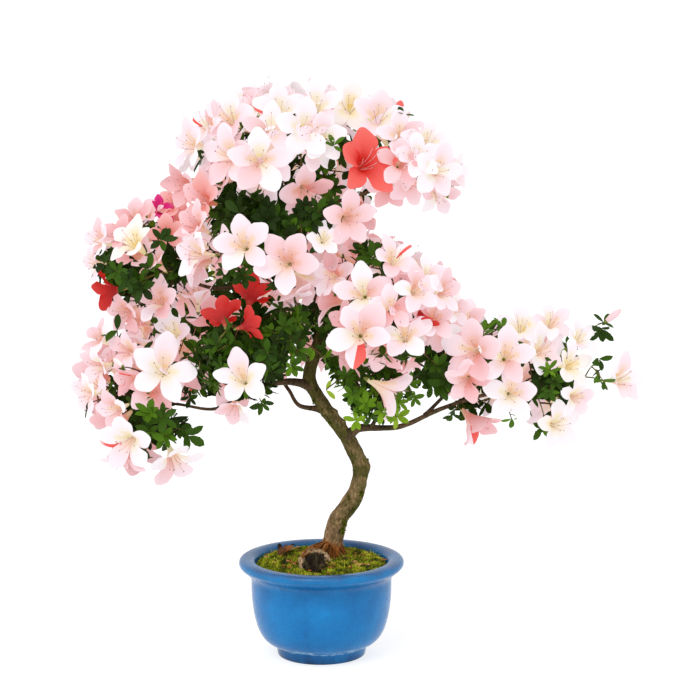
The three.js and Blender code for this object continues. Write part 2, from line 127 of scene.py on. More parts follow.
# How much of a mass's outer shell may bear sprays of leaves instead of blossom
LEAFINESS = {
    "crown_top": 0.08, "top_right": 0.06, "crown_back": 0.2, "upper": 0.15, "left_up": 0.15,
    "left_low": 0.12, "front": 0.9, "mid_right": 0.12, "right_mid": 0.12, "right_far": 0.06,
    "right_inner": 0.95, "back_left": 0.22, "back_right": 0.22,
}
LEAF_SIZES = {"right_inner": 14.5, "front": 16.5}  # where they differ from the rest
BRIGHTER_LEAVES = {"right_inner": 1.4, "front": 0.6}
SPARSE = {"right_inner": 0.6}  # the share of the finer tips that grow
CROWN_MIDDLE = np.array([0.0, 10.0, 400.0])
FIRST_SEED = 101
STEM_JOINTS = (0.35, 0.65, 1.0)  # where twigs leave the stem
STEM_POINTS = 24
STEM_SIDES = 9
STEM_END_RADIUS = 1.7
PATH_SHARE = 0.35  # how much the way along the wood counts in the choice of a joint
TWIG_LIFT = 0.14
TWIG_WANDER = 0.04
TWIG_POINTS = 7
TWIG_SIDES = 4
TWIG_FOOT_RADIUS = 1.15
TWIG_TIP_RADIUS = 0.55
TWIG_THINNING = 0.4  # how much thinner the feet of the outermost twigs are
LONGEST_PATH = 260.0
TWIG_JOINTS = ((0.5, 3), (0.83, 5))  # where twigs branch: a share of the length and a point of the line
TIP_LIFT = 0.25  # how much tips turn up from the middle of their mass
LIGHT_CHANCE = 0.5
BLOSSOM_ROOM = 19.0
SPRAY_ROOM = 10.5
BLOSSOM_SETBACK = 7.0
FRONT_DEPTH = 40.0  # leaves of the photograph hold before this depth, and patches of leaves behind it
PATCH_SCALE = 0.024
PATCH_LEVEL = 0.17

# Blossoms of the front by mass, each by the pixel of its throat in the photograph. across is in millimetres,
# turn and lift are the degrees that the blossom faces right of and above the camera, and back is how far it
# stands behind the front of its mass. A mark is a red part of one petal, a spread is how far the petals open,
# and a roll is how far the blossom is turned clockwise about its own middle, both in degrees.
Bloom = namedtuple("Bloom", "pixel across turn lift tint back mark spread roll", defaults=[None, None, 0])
FRONT_BLOOMS = {
    "crown_top": [
        ((198, 146), 58, -58, 5, "blush", 4), ((236, 157), 70, -35, 0, "blush", 8),
        ((260, 161), 68, 2, -4, "blush", -4), ((271, 134), 62, 5, 22, "blush", 10),
        ((280, 115), 60, 0, 18, "white", 12, "red_edge"), ((301, 131), 64, 25, 5, "white", 2),
        ((233, 122), 60, -30, 20, "blush", 12), ((243, 109), 50, -20, 30, "blush", 16, "red_edge"),
        ((316, 110), 62, 0, 22, "white", 10), ((320, 138), 54, 14, 0, "white", 6),
        ((349, 111), 60, 5, 18, "cream", 8), ((211, 130), 54, -42, 25, "blush", 14, "red_edge"),
        ((190, 182), 56, -50, -20, "rose", 6), ((258, 110), 48, -5, 30, "white", 20),
    ],
    "top_right": [
        ((361, 166), 76, 32, 8, "red", -16), ((378, 121), 64, 5, 14, "blush", 6),
        ((399, 138), 54, 15, 10, "blush", 12), ((424, 146), 58, 20, 15, "white", 12),
        ((407, 181), 50, 12, -25, "pink", 8), ((436, 192), 50, 25, -35, "blush", 8),
        ((399, 165), 52, 10, 10, "pink", 4), ((416, 160), 54, 15, 12, "white", 6),
        ((432, 170), 60, 28, -8, "white", -2), ((450, 172), 42, 55, 5, "blush", 8, "red_edge"),
        ((388, 184), 50, 5, -35, "pink", 8), ((360, 204), 54, -10, -45, "rose", 14),
    ],
    "upper": [
        ((245, 247), 62, -8, 8, "blush", 0, None, 76, -12),
        ((288, 263), 68, -8, 4, "blush", -6, None, 76, 26), ((204, 255), 60, -60, 0, "blush", 4, None, 60),
        ((201, 228), 54, -52, 25, "rose", 8), ((208, 202), 58, -45, 10, "salmon", 8),
        ((303, 189), 62, 14, -26, "rose", 2, None, 74), ((323, 241), 40, 12, 14, "white", 24),
        ((346, 218), 58, 20, -10, "pink", 12),
    ],
    "left_up": [
        ((138, 247), 60, -40, 32, "cream", 0), ((106, 243), 50, -60, 15, "blush", 4),
        ((136, 222), 46, -10, 40, "rose", 8), ((158, 213), 34, 40, 30, "magenta", 2),
        ((149, 218), 40, -20, 45, "pink", 8), ((178, 208), 48, -30, 30, "salmon", 8),
        ((184, 226), 54, -20, 0, "salmon", 8), ((160, 266), 44, -60, 40, "pink", 10, "red_stripe"),
        ((99, 264), 40, -60, -5, "blush", 8), ((116, 290), 52, -104, -8, "scarlet", 2, None, 52),
        ((163, 303), 54, -30, 15, "pink", 2), ((197, 302), 56, -8, 64, "pink", 2, None, 48),
        ((130, 310), 50, -40, -20, "pink", 6), ((122, 240), 46, -35, 40, "rose", 10),
        ((168, 236), 44, -10, 15, "salmon", 10),
    ],
    "left_low": [
        ((177, 335), 56, -35, 15, "blush", 2), ((142, 322), 52, -45, 12, "pink", 4, "red_edge"),
        ((164, 372), 72, 0, 5, "white", -6, None, 78, 16), ((104, 366), 50, -48, -12, "blush", 4),
        ((94, 393), 50, -55, -5, "blush", 4), ((121, 408), 52, -45, -20, "blush", 8),
        ((132, 438), 66, -25, -25, "white", 0, "red_edge"), ((172, 454), 66, 32, -48, "blush", 0, None, 78),
        ((133, 378), 46, -70, -10, "rose", 4, "red_stripe", 40), ((132, 352), 48, -40, 10, "pink", 12),
        ((104, 341), 46, -50, 28, "blush", 10),
    ],
    "front": [
        ((224, 321), 48, -165, 44, "scarlet", 4, None, 58),
        ((250, 301), 56, 160, 50, "scarlet", 10, None, 58),
        ((243, 327), 42, 120, 14, "scarlet", 2, None, 62), ((244, 381), 60, -8, 15, "white", 0),
        ((236, 402), 50, -10, -55, "blush", 4, None, 50),
    ],
    "mid_right": [
        ((360, 335), 72, -3, 4, "blush", -12, "red_half", 74, 28), ((364, 296), 64, -6, 4, "blush", 14),
        ((405, 339), 60, -4, 26, "blush", 2), ((337, 277), 52, -25, 10, "pink", 14),
        ((334, 252), 58, -40, 20, "pink", 12), ((438, 294), 50, 45, 15, "blush", 2),
        ((392, 263), 54, 22, 30, "blush", 4, "red_stripe"),
        ((420, 314), 40, 30, -60, "scarlet", 12, None, 50), ((414, 292), 54, 25, 12, "blush", 6),
        ((424, 279), 46, 30, 20, "blush", 10), ((391, 310), 50, 10, 8, "pink", 12),
        ((449, 310), 44, 48, 10, "blush", 6), ((432, 321), 50, 12, 15, "pink", 10),
    ],
    "right_inner": [
        ((380, 386), 72, 98, -26, "pink", -4, None, 46),
    ],
    "right_mid": [
        ((476, 351), 68, -24, -2, "pink", 0), ((446, 335), 52, 0, 10, "pink", 6),
        ((505, 358), 64, 3, 8, "blush", 0), ((510, 394), 60, 5, 0, "white", -6),
        ((467, 325), 50, -10, 35, "blush", 12), ((468, 379), 50, -8, -18, "pink", 8),
        ((520, 331), 52, 5, 35, "cream", 10), ((469, 417), 62, 66, -46, "pink", 0, "red_half", 38),
    ],
    "right_far": [
        ((536, 352), 58, 40, 12, "white", 6), ((566, 366), 54, 38, 10, "cream", 0),
        ((553, 424), 58, 30, -5, "cream", 0), ((549, 326), 50, 20, 30, "white", 8),
        ((615, 380), 60, 46, 4, "white", 2, None, 62), ((576, 341), 44, 35, 25, "white", 8),
        ((572, 396), 46, 30, -12, "white", 8),
    ],
}
# Sprays of leaves that the photograph shows on their own, placed and turned like the blossoms. shade is the
# place of their green among the greens.
Sprig = namedtuple("Sprig", "pixel turn lift leaves size shade back", defaults=[0])
FRONT_SPRIGS = {
    "right_far": [
        ((604, 322), 20, 40, 4, 15, 2), ((601, 330), 10, -50, 5, 20, 1), ((600, 360), 30, -30, 3, 15, 2),
        ((604, 382), 20, -50, 3, 15, 3), ((542, 428), 10, -20, 4, 16, 2), ((549, 370), -10, 40, 6, 14, 3),
        ((555, 381), 20, 0, 6, 14, 2), ((549, 392), 0, -40, 6, 14, 2),
    ],
    "right_mid": [
        ((484, 331), -10, 50, 5, 19, 3), ((444, 378), 10, -10, 6, 17, 1), ((432, 386), -10, -20, 5, 15, 2),
        ((503, 327), 20, 60, 4, 17, 3), ((512, 420), 20, -60, 3, 14, 4), ((452, 416), -20, -50, 4, 14, 1),
    ],
    "mid_right": [
        ((437, 366), 10, 20, 6, 17, 2), ((428, 358), -10, 10, 6, 16, 1), ((334, 322), -20, 0, 6, 16, 2, 30),
        ((336, 342), -20, -10, 6, 16, 1, 34), ((362, 252), 0, 30, 6, 15, 1, 16),
        ((371, 249), 20, 30, 5, 14, 2, 16), ((328, 332), -20, 0, 6, 16, 1, 30),
        ((327, 350), -20, -10, 6, 16, 2, 34),
    ],
    "left_low": [
        ((188, 436), 20, -20, 6, 20, 2), ((179, 429), -10, 10, 4, 14, 1), ((149, 413), 0, 20, 6, 18, 3),
        ((163, 418), 10, 10, 6, 18, 2), ((150, 432), -10, -10, 6, 18, 2), ((165, 436), 10, -20, 6, 18, 3),
        ((190, 398), 10, -20, 5, 12, 0), ((117, 330), -10, 40, 2, 22, 2), ((196, 352), 10, 20, 6, 18, 2),
        ((202, 370), 10, 0, 6, 17, 1),
    ],
    "crown_top": [
        ((334, 145), 10, 30, 4, 15, 3),
    ],
    "top_right": [
        ((402, 115), 20, 60, 3, 15, 2), ((446, 190), 40, -30, 3, 14, 4),
    ],
    "left_up": [
        ((162, 240), 20, 10, 5, 18, 1), ((176, 258), 10, 10, 6, 17, 0, 16),
        ((182, 272), 0, 0, 6, 17, 1, 12), ((150, 268), -10, 20, 5, 17, 2, 4),
        ((104, 264), -20, 10, 5, 16, 1), ((116, 271), -20, 10, 6, 17, 2), ((128, 280), -10, 0, 6, 17, 1),
        ((142, 288), -10, -10, 6, 17, 1),
    ],
    "upper": [
        ((226, 206), -10, 20, 6, 18, 0, 30), ((238, 202), 10, 20, 6, 18, 1, 30),
        ((252, 205), 0, 20, 6, 18, 0, 28), ((264, 214), 10, 10, 6, 19, 2, 24),
        ((278, 222), 0, 0, 6, 18, 1, 26), ((290, 228), 10, -10, 5, 17, 2, 26),
        ((318, 190), 10, 20, 6, 16, 3, 24), ((326, 178), 10, 30, 5, 15, 2, 26),
        ((222, 218), -20, 0, 6, 17, 1, 34), ((236, 192), -10, 20, 6, 17, 0, 40),
        ((256, 192), 0, 20, 6, 17, 1, 40), ((276, 196), 10, 20, 6, 17, 0, 40),
        ((298, 214), 10, 0, 6, 17, 1, 34), ((310, 224), 10, 0, 6, 16, 2, 34),
        ((262, 244), 0, 0, 6, 16, 2, 30), ((305, 206), 0, 10, 6, 16, 0, 22),
        ((318, 210), 10, 10, 6, 16, 1, 20), ((330, 214), 10, 0, 6, 16, 0, 20),
        ((312, 220), 0, 0, 6, 16, 1, 26), ((325, 168), 10, 20, 5, 15, 3, 22),
        ((334, 188), 10, 10, 6, 15, 1, 20), ((332, 202), 10, 10, 6, 15, 2, 20),
        ((228, 270), -10, -10, 6, 16, 2, 14), ((244, 276), 10, -20, 6, 16, 1, 14),
    ],
    "front": [
        ((296, 318), 20, 20, 6, 16, 2, 30), ((302, 334), 20, 0, 6, 16, 1, 40),
        ((298, 350), 20, 0, 6, 16, 2, 36), ((292, 366), 20, -20, 6, 15, 3, 30),
        ((262, 404), 20, -40, 5, 16, 2), ((216, 345), -20, 20, 6, 18, 1),
    ],
    "back_right": [
        ((322, 300), 0, 10, 6, 18, 0), ((328, 316), 0, 10, 6, 18, 1), ((322, 332), 0, 0, 6, 18, 0),
        ((332, 346), 10, 0, 6, 18, 1), ((338, 362), 10, -10, 6, 18, 1), ((306, 316), -10, 10, 6, 18, 0),
    ],
    "right_inner": [
        ((333, 360), -10, 0, 6, 14, 2, 10), ((346, 376), -10, 10, 6, 15, 2), ((362, 374), 0, 0, 6, 15, 1),
        ((386, 367), 10, 20, 6, 15, 2, 10), ((409, 384), 20, -10, 6, 15, 3, 6),
        ((420, 376), 20, -10, 6, 15, 1), ((352, 394), -10, -20, 5, 14, 3), ((414, 398), 20, -20, 5, 14, 3),
        ((382, 412), 10, -20, 5, 14, 4), ((356, 421), -10, -10, 5, 14, 5), ((366, 404), 0, 20, 6, 14, 4),
        ((397, 417), 10, -10, 5, 15, 5), ((399, 402), 20, 20, 5, 14, 4), ((326, 390), 20, 10, 2, 13, 6),
    ],
}
# Closed buds, by the pixels of their foot and tip
Bud = namedtuple("Bud", "foot tip tint")
FRONT_BUDS = {
    "right_far": [
        ((604, 323), (622, 309), "pink"),
    ],
    "left_low": [
        ((124, 367), (113, 358), "cream"),
    ],
    "top_right": [
        ((398, 112), (401, 101), "red"),
    ],
}
# The crown's outline in the photograph, as (column, row), which the finer growth keeps inside
CROWN_OUTLINE = [
    (240, 82), (300, 80), (350, 82), (390, 92), (410, 106), (420, 126), (440, 134), (458, 146), (467, 168),
    (462, 190), (455, 206), (444, 213), (434, 209), (420, 200), (411, 205), (402, 212), (391, 207),
    (377, 207), (376, 221), (372, 234), (378, 240), (388, 232), (403, 241), (416, 248), (428, 259),
    (441, 263), (454, 268), (458, 292), (466, 303), (480, 312), (512, 308), (530, 312), (562, 318),
    (578, 330), (586, 350), (586, 372), (580, 396), (578, 428), (560, 448), (540, 444), (526, 428),
    (508, 416), (496, 418), (486, 434), (474, 450), (456, 446), (448, 424), (420, 424), (404, 430),
    (380, 432), (354, 424), (344, 400), (326, 384), (306, 382), (294, 388), (280, 396), (270, 413),
    (254, 412), (248, 432), (226, 424), (214, 410), (180, 408), (210, 440), (196, 452), (204, 474),
    (150, 478), (120, 472), (94, 464), (106, 446), (94, 424), (78, 410), (66, 392), (67, 366), (75, 346),
    (96, 332), (104, 318), (94, 300), (86, 284), (81, 262), (87, 246), (97, 230), (118, 222), (126, 210),
    (148, 203), (166, 198), (175, 180), (171, 160), (174, 138), (185, 122), (206, 114), (224, 106),
    (230, 92),
]
# Places in the photograph, as (column, row, radius), where the front shows leaves instead of blossom,
# and where sky shows through
LEAF_PLACES = [
    (322, 212, 22), (272, 218, 18), (238, 227, 10), (116, 270, 16), (140, 284, 12), (170, 258, 12),
    (213, 347, 24), (268, 326, 32), (290, 358, 30), (250, 345, 28), (316, 314, 12), (334, 372, 20),
    (372, 404, 22), (402, 391, 14), (153, 424, 15), (266, 398, 13), (330, 345, 18), (196, 368, 16),
    (254, 282, 12), (232, 190, 9), (255, 192, 11), (280, 192, 11), (322, 318, 12), (300, 335, 14),
    (220, 214, 15), (362, 372, 14), (388, 370, 14), (412, 374, 14), (225, 205, 14), (246, 204, 16),
    (262, 214, 16), (288, 222, 14), (320, 186, 13), (180, 270, 12), (232, 273, 10), (205, 382, 15),
    (160, 242, 9), (291, 232, 12), (264, 238, 9), (366, 252, 9), (471, 406, 9), (369, 352, 9),
    (388, 358, 10), (405, 354, 9), (551, 380, 9), (545, 428, 6), (492, 328, 10), (436, 394, 14),
    (336, 148, 8), (435, 370, 18),
]
SKY_PLACES = [
    (226, 297, 9), (495, 297, 8), (518, 438, 14), (203, 413, 10), (216, 420, 10), (289, 397, 8),
    (300, 396, 7), (296, 371, 4), (326, 386, 6), (332, 400, 12), (339, 413, 10), (413, 413, 9),
    (424, 392, 3), (432, 402, 5), (442, 402, 8), (186, 405, 4), (276, 424, 10),
]
# Where the trunk and a bough show among the leaves, and the depth that they lie at
WOOD_DEPTH = 8.0
WOOD_PLACES = [
    (316, 325, 7), (314, 340, 8), (312, 352, 8), (310, 365, 9), (309, 378, 9), (316, 394, 9), (300, 384, 7),
    (420, 417, 6), (440, 409, 6), (240, 287, 5), (260, 285, 5),
]


# Numbers and curves


def unit(vectors):
    vectors = np.asarray(vectors, float)
    return vectors / np.maximum(np.linalg.norm(vectors, axis=-1, keepdims=True), 1e-9)


def smooth_step(low, high, value):
    share = np.clip((value - low) / (high - low), 0, 1)
    return share * share * (3 - 2 * share)


def circle(count):
    """That many angles evenly round a circle."""
    return 2 * np.pi * np.arange(count) / count


def level(angle):
    """Level directions at some angles."""
    return np.stack([np.cos(angle), np.sin(angle), 0 * angle], -1)


def lengths_along(line):
    """How far along a line each of its points lies."""
    return np.concatenate([[0], np.cumsum(np.linalg.norm(np.diff(line, axis=0), axis=1))])


def seeded_draw(seed):
    """The CAD model's seeded draw of numbers from 0 to 1."""
    mask = 0xFFFFFFFF
    state = seed

    def draw():
        nonlocal state
        state = (state + 0x6D2B79F5) & mask
        value = ((state ^ (state >> 15)) * (1 | state)) & mask
        value = ((value + (((value ^ (value >> 7)) * (61 | value)) & mask)) & mask) ^ value
        return ((value ^ (value >> 14)) & mask) / (mask + 1)

    return draw


def limb_line(points, spacing):
    """Places and radii at even steps along the centripetal spline through points (x, y, z, radius)."""
    given = np.array(points, float)
    places = given[:, :3]
    before = 2 * places[0] - places[1]
    after = 2 * places[-1] - places[-2]
    padded = np.vstack([before, places, after])
    share = np.linspace(0, 1, 24, endpoint=False)[:, None]
    line = []
    radii = []
    for k in range(len(places) - 1):
        p0, p1, p2, p3 = padded[k:k + 4]
        d0 = math.sqrt(np.linalg.norm(p1 - p0))
        d1 = math.sqrt(np.linalg.norm(p2 - p1))
        d2 = math.sqrt(np.linalg.norm(p3 - p2))
        slope1 = ((p1 - p0) / d0 - (p2 - p0) / (d0 + d1) + (p2 - p1) / d1) * d1
        slope2 = ((p2 - p1) / d1 - (p3 - p1) / (d1 + d2) + (p3 - p2) / d2) * d1
        square = -3 * p1 + 3 * p2 - 2 * slope1 - slope2
        cube = 2 * p1 - 2 * p2 + slope1 + slope2
        line.append(p1 + slope1 * share + square * share**2 + cube * share**3)
        radii.append(given[k, 3] + (given[k + 1, 3] - given[k, 3]) * share[:, 0])
    line = np.vstack(line + [places[-1:]])
    radii = np.concatenate(radii + [given[-1:, 3]])
    lengths = lengths_along(line)
    steps = np.linspace(0, lengths[-1], max(3, round(lengths[-1] / spacing)) + 1)
    even = np.stack([np.interp(steps, lengths, line[:, axis]) for axis in range(3)], axis=1)
    return even, np.interp(steps, lengths, radii)


def bent_line(start, bend, end, count):
    """Points on quadratic curves; start, bend and end may each hold many points."""
    share = np.linspace(0, 1, count)[:, None]
    start, bend, end = (np.asarray(p, float)[..., None, :] for p in (start, bend, end))
    return start * (1 - share) ** 2 + bend * 2 * share * (1 - share) + end * share**2


def cross_directions(lines):
    """Two directions across each point of many lines, carried along so that they don't twist."""
    ahead = unit(np.gradient(lines, axis=1))
    helper = np.where(np.abs(ahead[:, 0, 2:3]) < 0.9, UP, RIGHT)
    across = np.empty_like(lines)
    across[:, 0] = unit(np.cross(ahead[:, 0], helper))
    for k in range(1, lines.shape[1]):
        kept = across[:, k - 1]
        along = np.sum(kept * ahead[:, k], axis=-1, keepdims=True)
        across[:, k] = unit(kept - along * ahead[:, k])
    return across, np.cross(ahead, across)


def wall_triangles(rings, sides):
    """Triangles of an open tube with that many rings."""
    ring, side = np.meshgrid(np.arange(rings - 1), np.arange(sides), indexing="ij")
    a = (ring * sides + side).ravel()
    b = (ring * sides + (side + 1) % sides).ravel()
    c = a + sides
    d = b + sides
    return np.concatenate([np.stack([a, b, d], 1), np.stack([a, d, c], 1)])


def tube_triangles(rings, sides):
    """Triangles of a tube with that many rings; its last point closes the tip."""
    last = (rings - 1) * sides
    turn = np.arange(sides)
    tip = np.stack([last + turn, last + (turn + 1) % sides, np.full(sides, rings * sides)], 1)
    return np.concatenate([wall_triangles(rings, sides), tip])


def copies(triangles, points, count):
    """The triangles of that many copies of a shape, with so many points to a copy."""
    return (triangles[None] + points * np.arange(count)[:, None, None]).reshape(-1, 3)


def tubes(lines, radii, sides):
    """Many thin tubes with the same number of rings, as points and triangles."""
    lines = np.asarray(lines, float)
    count, rings = lines.shape[:2]
    across, beside = cross_directions(lines)
    angles = circle(sides)
    out = across[:, :, None] * np.cos(angles)[:, None] + beside[:, :, None] * np.sin(angles)[:, None]
    walls = lines[:, :, None] + out * np.asarray(radii, float)[..., None, None]
    points = np.concatenate([walls.reshape(count, rings * sides, 3), lines[:, -1:]], axis=1)
    return points.reshape(-1, 3), copies(tube_triangles(rings, sides), rings * sides + 1, count)


def grid_triangles(rows, columns):
    """Triangles of a grid of points with that many rows and columns."""
    row, column = np.meshgrid(np.arange(rows - 1), np.arange(columns - 1), indexing="ij")
    a = (row * columns + column).ravel()
    b = a + 1
    c = a + columns
    d = c + 1
    return np.stack([np.stack([a, b, d], 1), np.stack([a, d, c], 1)], 1).reshape(-1, 3)


# The photograph's view


def on_photo(points):
    """Column, row and distance of points in the photograph."""
    away = np.asarray(points, float) - CAMERA_PLACE
    distance = away @ AHEAD
    column = IMAGE_SIZE / 2 + FOCAL_PIXELS * (away @ RIGHT) / distance
    row = IMAGE_SIZE / 2 - FOCAL_PIXELS * (away @ OVERHEAD) / distance
    return column, row, distance


def sight_line(pixel):
    across = (pixel[0] - IMAGE_SIZE / 2) / FOCAL_PIXELS
    down = (pixel[1] - IMAGE_SIZE / 2) / FOCAL_PIXELS
    return unit(AHEAD + across * RIGHT - down * OVERHEAD)


def on_ground(pixel, height):
    """Where the line of sight through a pixel meets a level plane."""
    way = sight_line(pixel)
    return CAMERA_PLACE + way * (height - CAMERA_PLACE[2]) / way[2]


def front_of_mass(pixel, mass, inset):
    """Where the line of sight through a pixel meets the front of a mass, or else passes nearest to it."""
    reach = np.array(mass.reach, float) - inset
    way = sight_line(pixel)
    start = (CAMERA_PLACE - np.array(mass.middle)) / reach
    step = way / reach
    square = step @ step
    middle = -(start @ step) / square
    spare = 1 - (start + middle * step) @ (start + middle * step)
    nearer = math.sqrt(spare / square) if spare > 0 else 0
    return CAMERA_PLACE + (middle - nearer) * way


def in_places(point, places, room=0.0):
    column, row, _ = on_photo(point)
    return any(math.hypot(column - u, row - v) < radius + room for u, v, radius in places)


def inside_outline(points):
    """Which of some points lie inside the crown's outline in the photograph."""
    column, row, _ = on_photo(points)
    corners = np.array(CROWN_OUTLINE, float)
    inside = np.zeros(column.shape, bool)
    for (u0, v0), (u1, v1) in zip(corners, np.roll(corners, -1, axis=0)):
        crosses = (v0 > row) != (v1 > row)
        if v0 != v1:
            inside ^= crosses & (column < u0 + (row - v0) * (u1 - u0) / (v1 - v0))
    return inside


# Joined meshes


class Piece:
    """A joined mesh, in millimetres, that shapes are added to."""

    def __init__(self, palette):
        self.palette = palette
        self.points = []
        self.triangles = []
        self.slots = []
        self.count = 0

    def add(self, points, triangles, slot):
        self.points.append(points)
        self.triangles.append(triangles + self.count)
        self.slots.append(np.broadcast_to(slot, len(triangles)))
        self.count += len(points)

    def make(self, name, record_slot, nodes=()):
        """Makes the mesh and its object, which stands for nodes of the CAD model."""
        mesh = mesh_from(name, np.concatenate(self.points) * MM, np.concatenate(self.triangles))
        used, slots = np.unique(np.concatenate(self.slots), return_inverse=True)
        for slot in used:
            mesh.materials.append(self.palette[slot])
        mesh.polygons.foreach_set("material_index", slots.astype(np.int32))
        piece = new_object(name, mesh)
        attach(piece, "root")
        if nodes:
            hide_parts(*nodes)
        return piece


def mesh_from(name, points, triangles):
    mesh = bpy.data.meshes.new(name)
    mesh.vertices.add(len(points))
    mesh.vertices.foreach_set("co", points.astype(np.float32).ravel())
    mesh.loops.add(triangles.size)
    mesh.loops.foreach_set("vertex_index", triangles.astype(np.int32).ravel())
    mesh.polygons.add(len(triangles))
    mesh.polygons.foreach_set("loop_start", np.arange(0, triangles.size, 3, dtype=np.int32))
    mesh.polygons.foreach_set("use_smooth", np.ones(len(triangles), bool))
    mesh.update(calc_edges=True)
    return mesh


def new_object(name, data):
    """A new object in the scene."""
    made = bpy.data.objects.new(name, data)
    bpy.context.scene.collection.objects.link(made)
    return made


# Materials


def linear(colour):
    """A colour given as 0 to 255 on screen, as the linear values that shaders take."""
    share = np.array(colour, float) / 255
    return np.where(share <= 0.04045, share / 12.92, ((share + 0.055) / 1.055) ** 2.4)


def mixed(first, second, share):
    return tuple((1 - share) * np.array(first, float) + share * np.array(second, float))


def new_material(name, roughness, specular):
    material = bpy.data.materials.new(name)
    material.use_nodes = True
    shader = material.node_tree.nodes["Principled BSDF"]
    shader.inputs["Roughness"].default_value = roughness
    shader.inputs["Specular IOR Level"].default_value = specular
    return material, shader


def plain_material(name, colour, roughness, specular, share=1.0, glow=0.0, warmth=1.0):
    """A material of one colour. share is how much of it is thrown back, and glow how much it gives off.

    Warmth over 1 makes the glow deeper in colour and what is thrown back paler.
    """
    material, shader = new_material(name, roughness, specular)
    shader.inputs["Base Color"].default_value = (*(share * linear(colour) ** (2 - warmth)), 1)
    if np.any(glow):
        shader.inputs["Emission Color"].default_value = (*(glow * linear(colour) ** warmth), 1)
        shader.inputs["Emission Strength"].default_value = 1.0
    return material


def plain_palette(name, colours, *values):
    """Numbered materials of one colour each."""
    return [plain_material(f"{name}_{k}", colour, *values) for k, colour in enumerate(colours)]


def petal_material(name, colour, tint):
    glow = PETAL_GLOW * BRIGHTER.get(tint, 1.0)
    return plain_material(name, colour, 0.55, 0.2, PETAL_SHARE, glow, PETAL_WARMTH)


class Nodes:
    """A material, with short ways to add and join its shader nodes."""

    def __init__(self, name, roughness, specular):
        self.material, self.shader = new_material(name, roughness, specular)
        self.tree = self.material.node_tree
        coordinates = self.tree.nodes.new("ShaderNodeTexCoord")
        self.place = coordinates.outputs["Object"]
        self.normal = coordinates.outputs["Normal"]

    def join(self, source, target):
        self.tree.links.new(source, target)

    def add(self, kind, sources, values=None):
        """Adds a node, joins sources to its inputs and sets values on its other inputs."""
        node = self.tree.nodes.new("ShaderNode" + kind)
        for name, value in (values or {}).items():
            node.inputs[name].default_value = value
        for name, source in sources.items():
            self.join(source, node.inputs[name])
        return node

    def noise(self, scale, detail, roughness=0.55, stretch=None, distortion=0.0):
        place = self.place
        if stretch is not None:
            place = self.add("Mapping", {"Vector": place}, {"Scale": stretch}).outputs["Vector"]
        values = {"Scale": scale, "Detail": detail, "Roughness": roughness, "Distortion": distortion}
        return self.add("TexNoise", {"Vector": place}, values).outputs["Fac"]

    def upward(self, source):
        """The part of a place or of a direction that points up."""
        return self.add("SeparateXYZ", {"Vector": source}).outputs["Z"]

    def spread(self, value, low, high, new_low=0.0, new_high=1.0):
        values = {"From Min": low, "From Max": high, "To Min": new_low, "To Max": new_high}
        return self.add("MapRange", {"Value": value}, values).outputs["Result"]

    def ramp(self, value, stops):
        """stops are (share, screen colour) pairs."""
        node = self.add("ValToRGB", {"Fac": value})
        band = node.color_ramp
        while len(band.elements) < len(stops):
            band.elements.new(0.5)
        for element, (share, colour) in zip(band.elements, stops):
            element.position = share
            element.color = (*linear(colour), 1)
        return node.outputs["Color"]

    def blend(self, share, first, second, kind="MIX"):
        node = self.tree.nodes.new("ShaderNodeMix")
        node.data_type = "RGBA"
        node.blend_type = kind
        for name, source in (("Factor", share), ("A", first), ("B", second)):
            self.join(source, node.inputs[name])
        return node.outputs["Result"]

    def total(self, first, second):
        return self.add("Math", {0: first, 1: second}).outputs["Value"]

    def bump(self, value, strength, distance):
        node = self.add("Bump", {"Height": value}, {"Strength": strength, "Distance": distance})
        self.join(node.outputs["Normal"], self.shader.inputs["Normal"])

    def colour(self, source):
        self.join(source, self.shader.inputs["Base Color"])

    def roughness(self, source):
        self.join(source, self.shader.inputs["Roughness"])


def glaze_material():
    """Blue glaze by height, with clouds and runs, a chalky line above the foot and a fine grain."""
    nodes = Nodes("blue_glaze", 0.18, 0.24)
    uneven = nodes.spread(nodes.noise(45, 5, 0.65), 0.3, 0.7, -0.016, 0.016)
    height = nodes.total(nodes.spread(nodes.upward(nodes.place), 0, POT_HEIGHT * MM), uneven)
    # The band darker under the lip, near 0.87 of the height, is painted shade where the lip overhangs
    body = nodes.ramp(height, [
        (0.0, (8, 28, 54)), (0.035, (5, 66, 114)), (0.1, (4, 90, 150)), (0.112, (168, 200, 214)),
        (0.124, (4, 98, 158)), (0.3, (4, 110, 174)), (0.62, (5, 114, 180)), (0.8, (4, 104, 166)),
        (0.87, (4, 82, 138)), (0.9, (6, 106, 168)), (0.95, (12, 112, 172)), (0.985, (62, 106, 156)),
        (1.0, (66, 98, 142)),
    ])
    cloudy = nodes.ramp(nodes.noise(26, 6, 0.6), [(0.3, (2, 74, 134)), (0.7, (20, 140, 206))])
    runs = nodes.noise(60, 5, 0.6, stretch=(1, 1, 0.3))
    body = nodes.blend(nodes.spread(runs, 0.35, 0.75, 0.1, 0.65), body, cloudy)
    above_joint = nodes.spread(height, 0.098, 0.106, -1.0, 0.0)
    near_foot = nodes.total(nodes.spread(height, 0.15, 0.21, 0.4, 0.0), above_joint)
    chalky = nodes.total(near_foot, nodes.noise(90, 6, 0.7))
    chalk = nodes.ramp(nodes.noise(420, 4), [(0.3, (64, 136, 186)), (0.7, (176, 206, 222))])
    body = nodes.blend(nodes.spread(chalky, 0.85, 0.97, 0.0, 0.9), body, chalk)
    specks = nodes.ramp(nodes.noise(1100, 2), [(0.34, (150, 160, 180)), (0.5, (255, 255, 255))])
    share = nodes.spread(nodes.noise(140, 3), 0.3, 0.65, 0.1, 0.6)
    nodes.colour(nodes.blend(share, body, specks, "MULTIPLY"))
    nodes.roughness(nodes.spread(nodes.noise(180, 4), 0.3, 0.7, 0.12, 0.34))
    nodes.bump(nodes.noise(240, 4), 0.1, 0.0006)
    return nodes.material


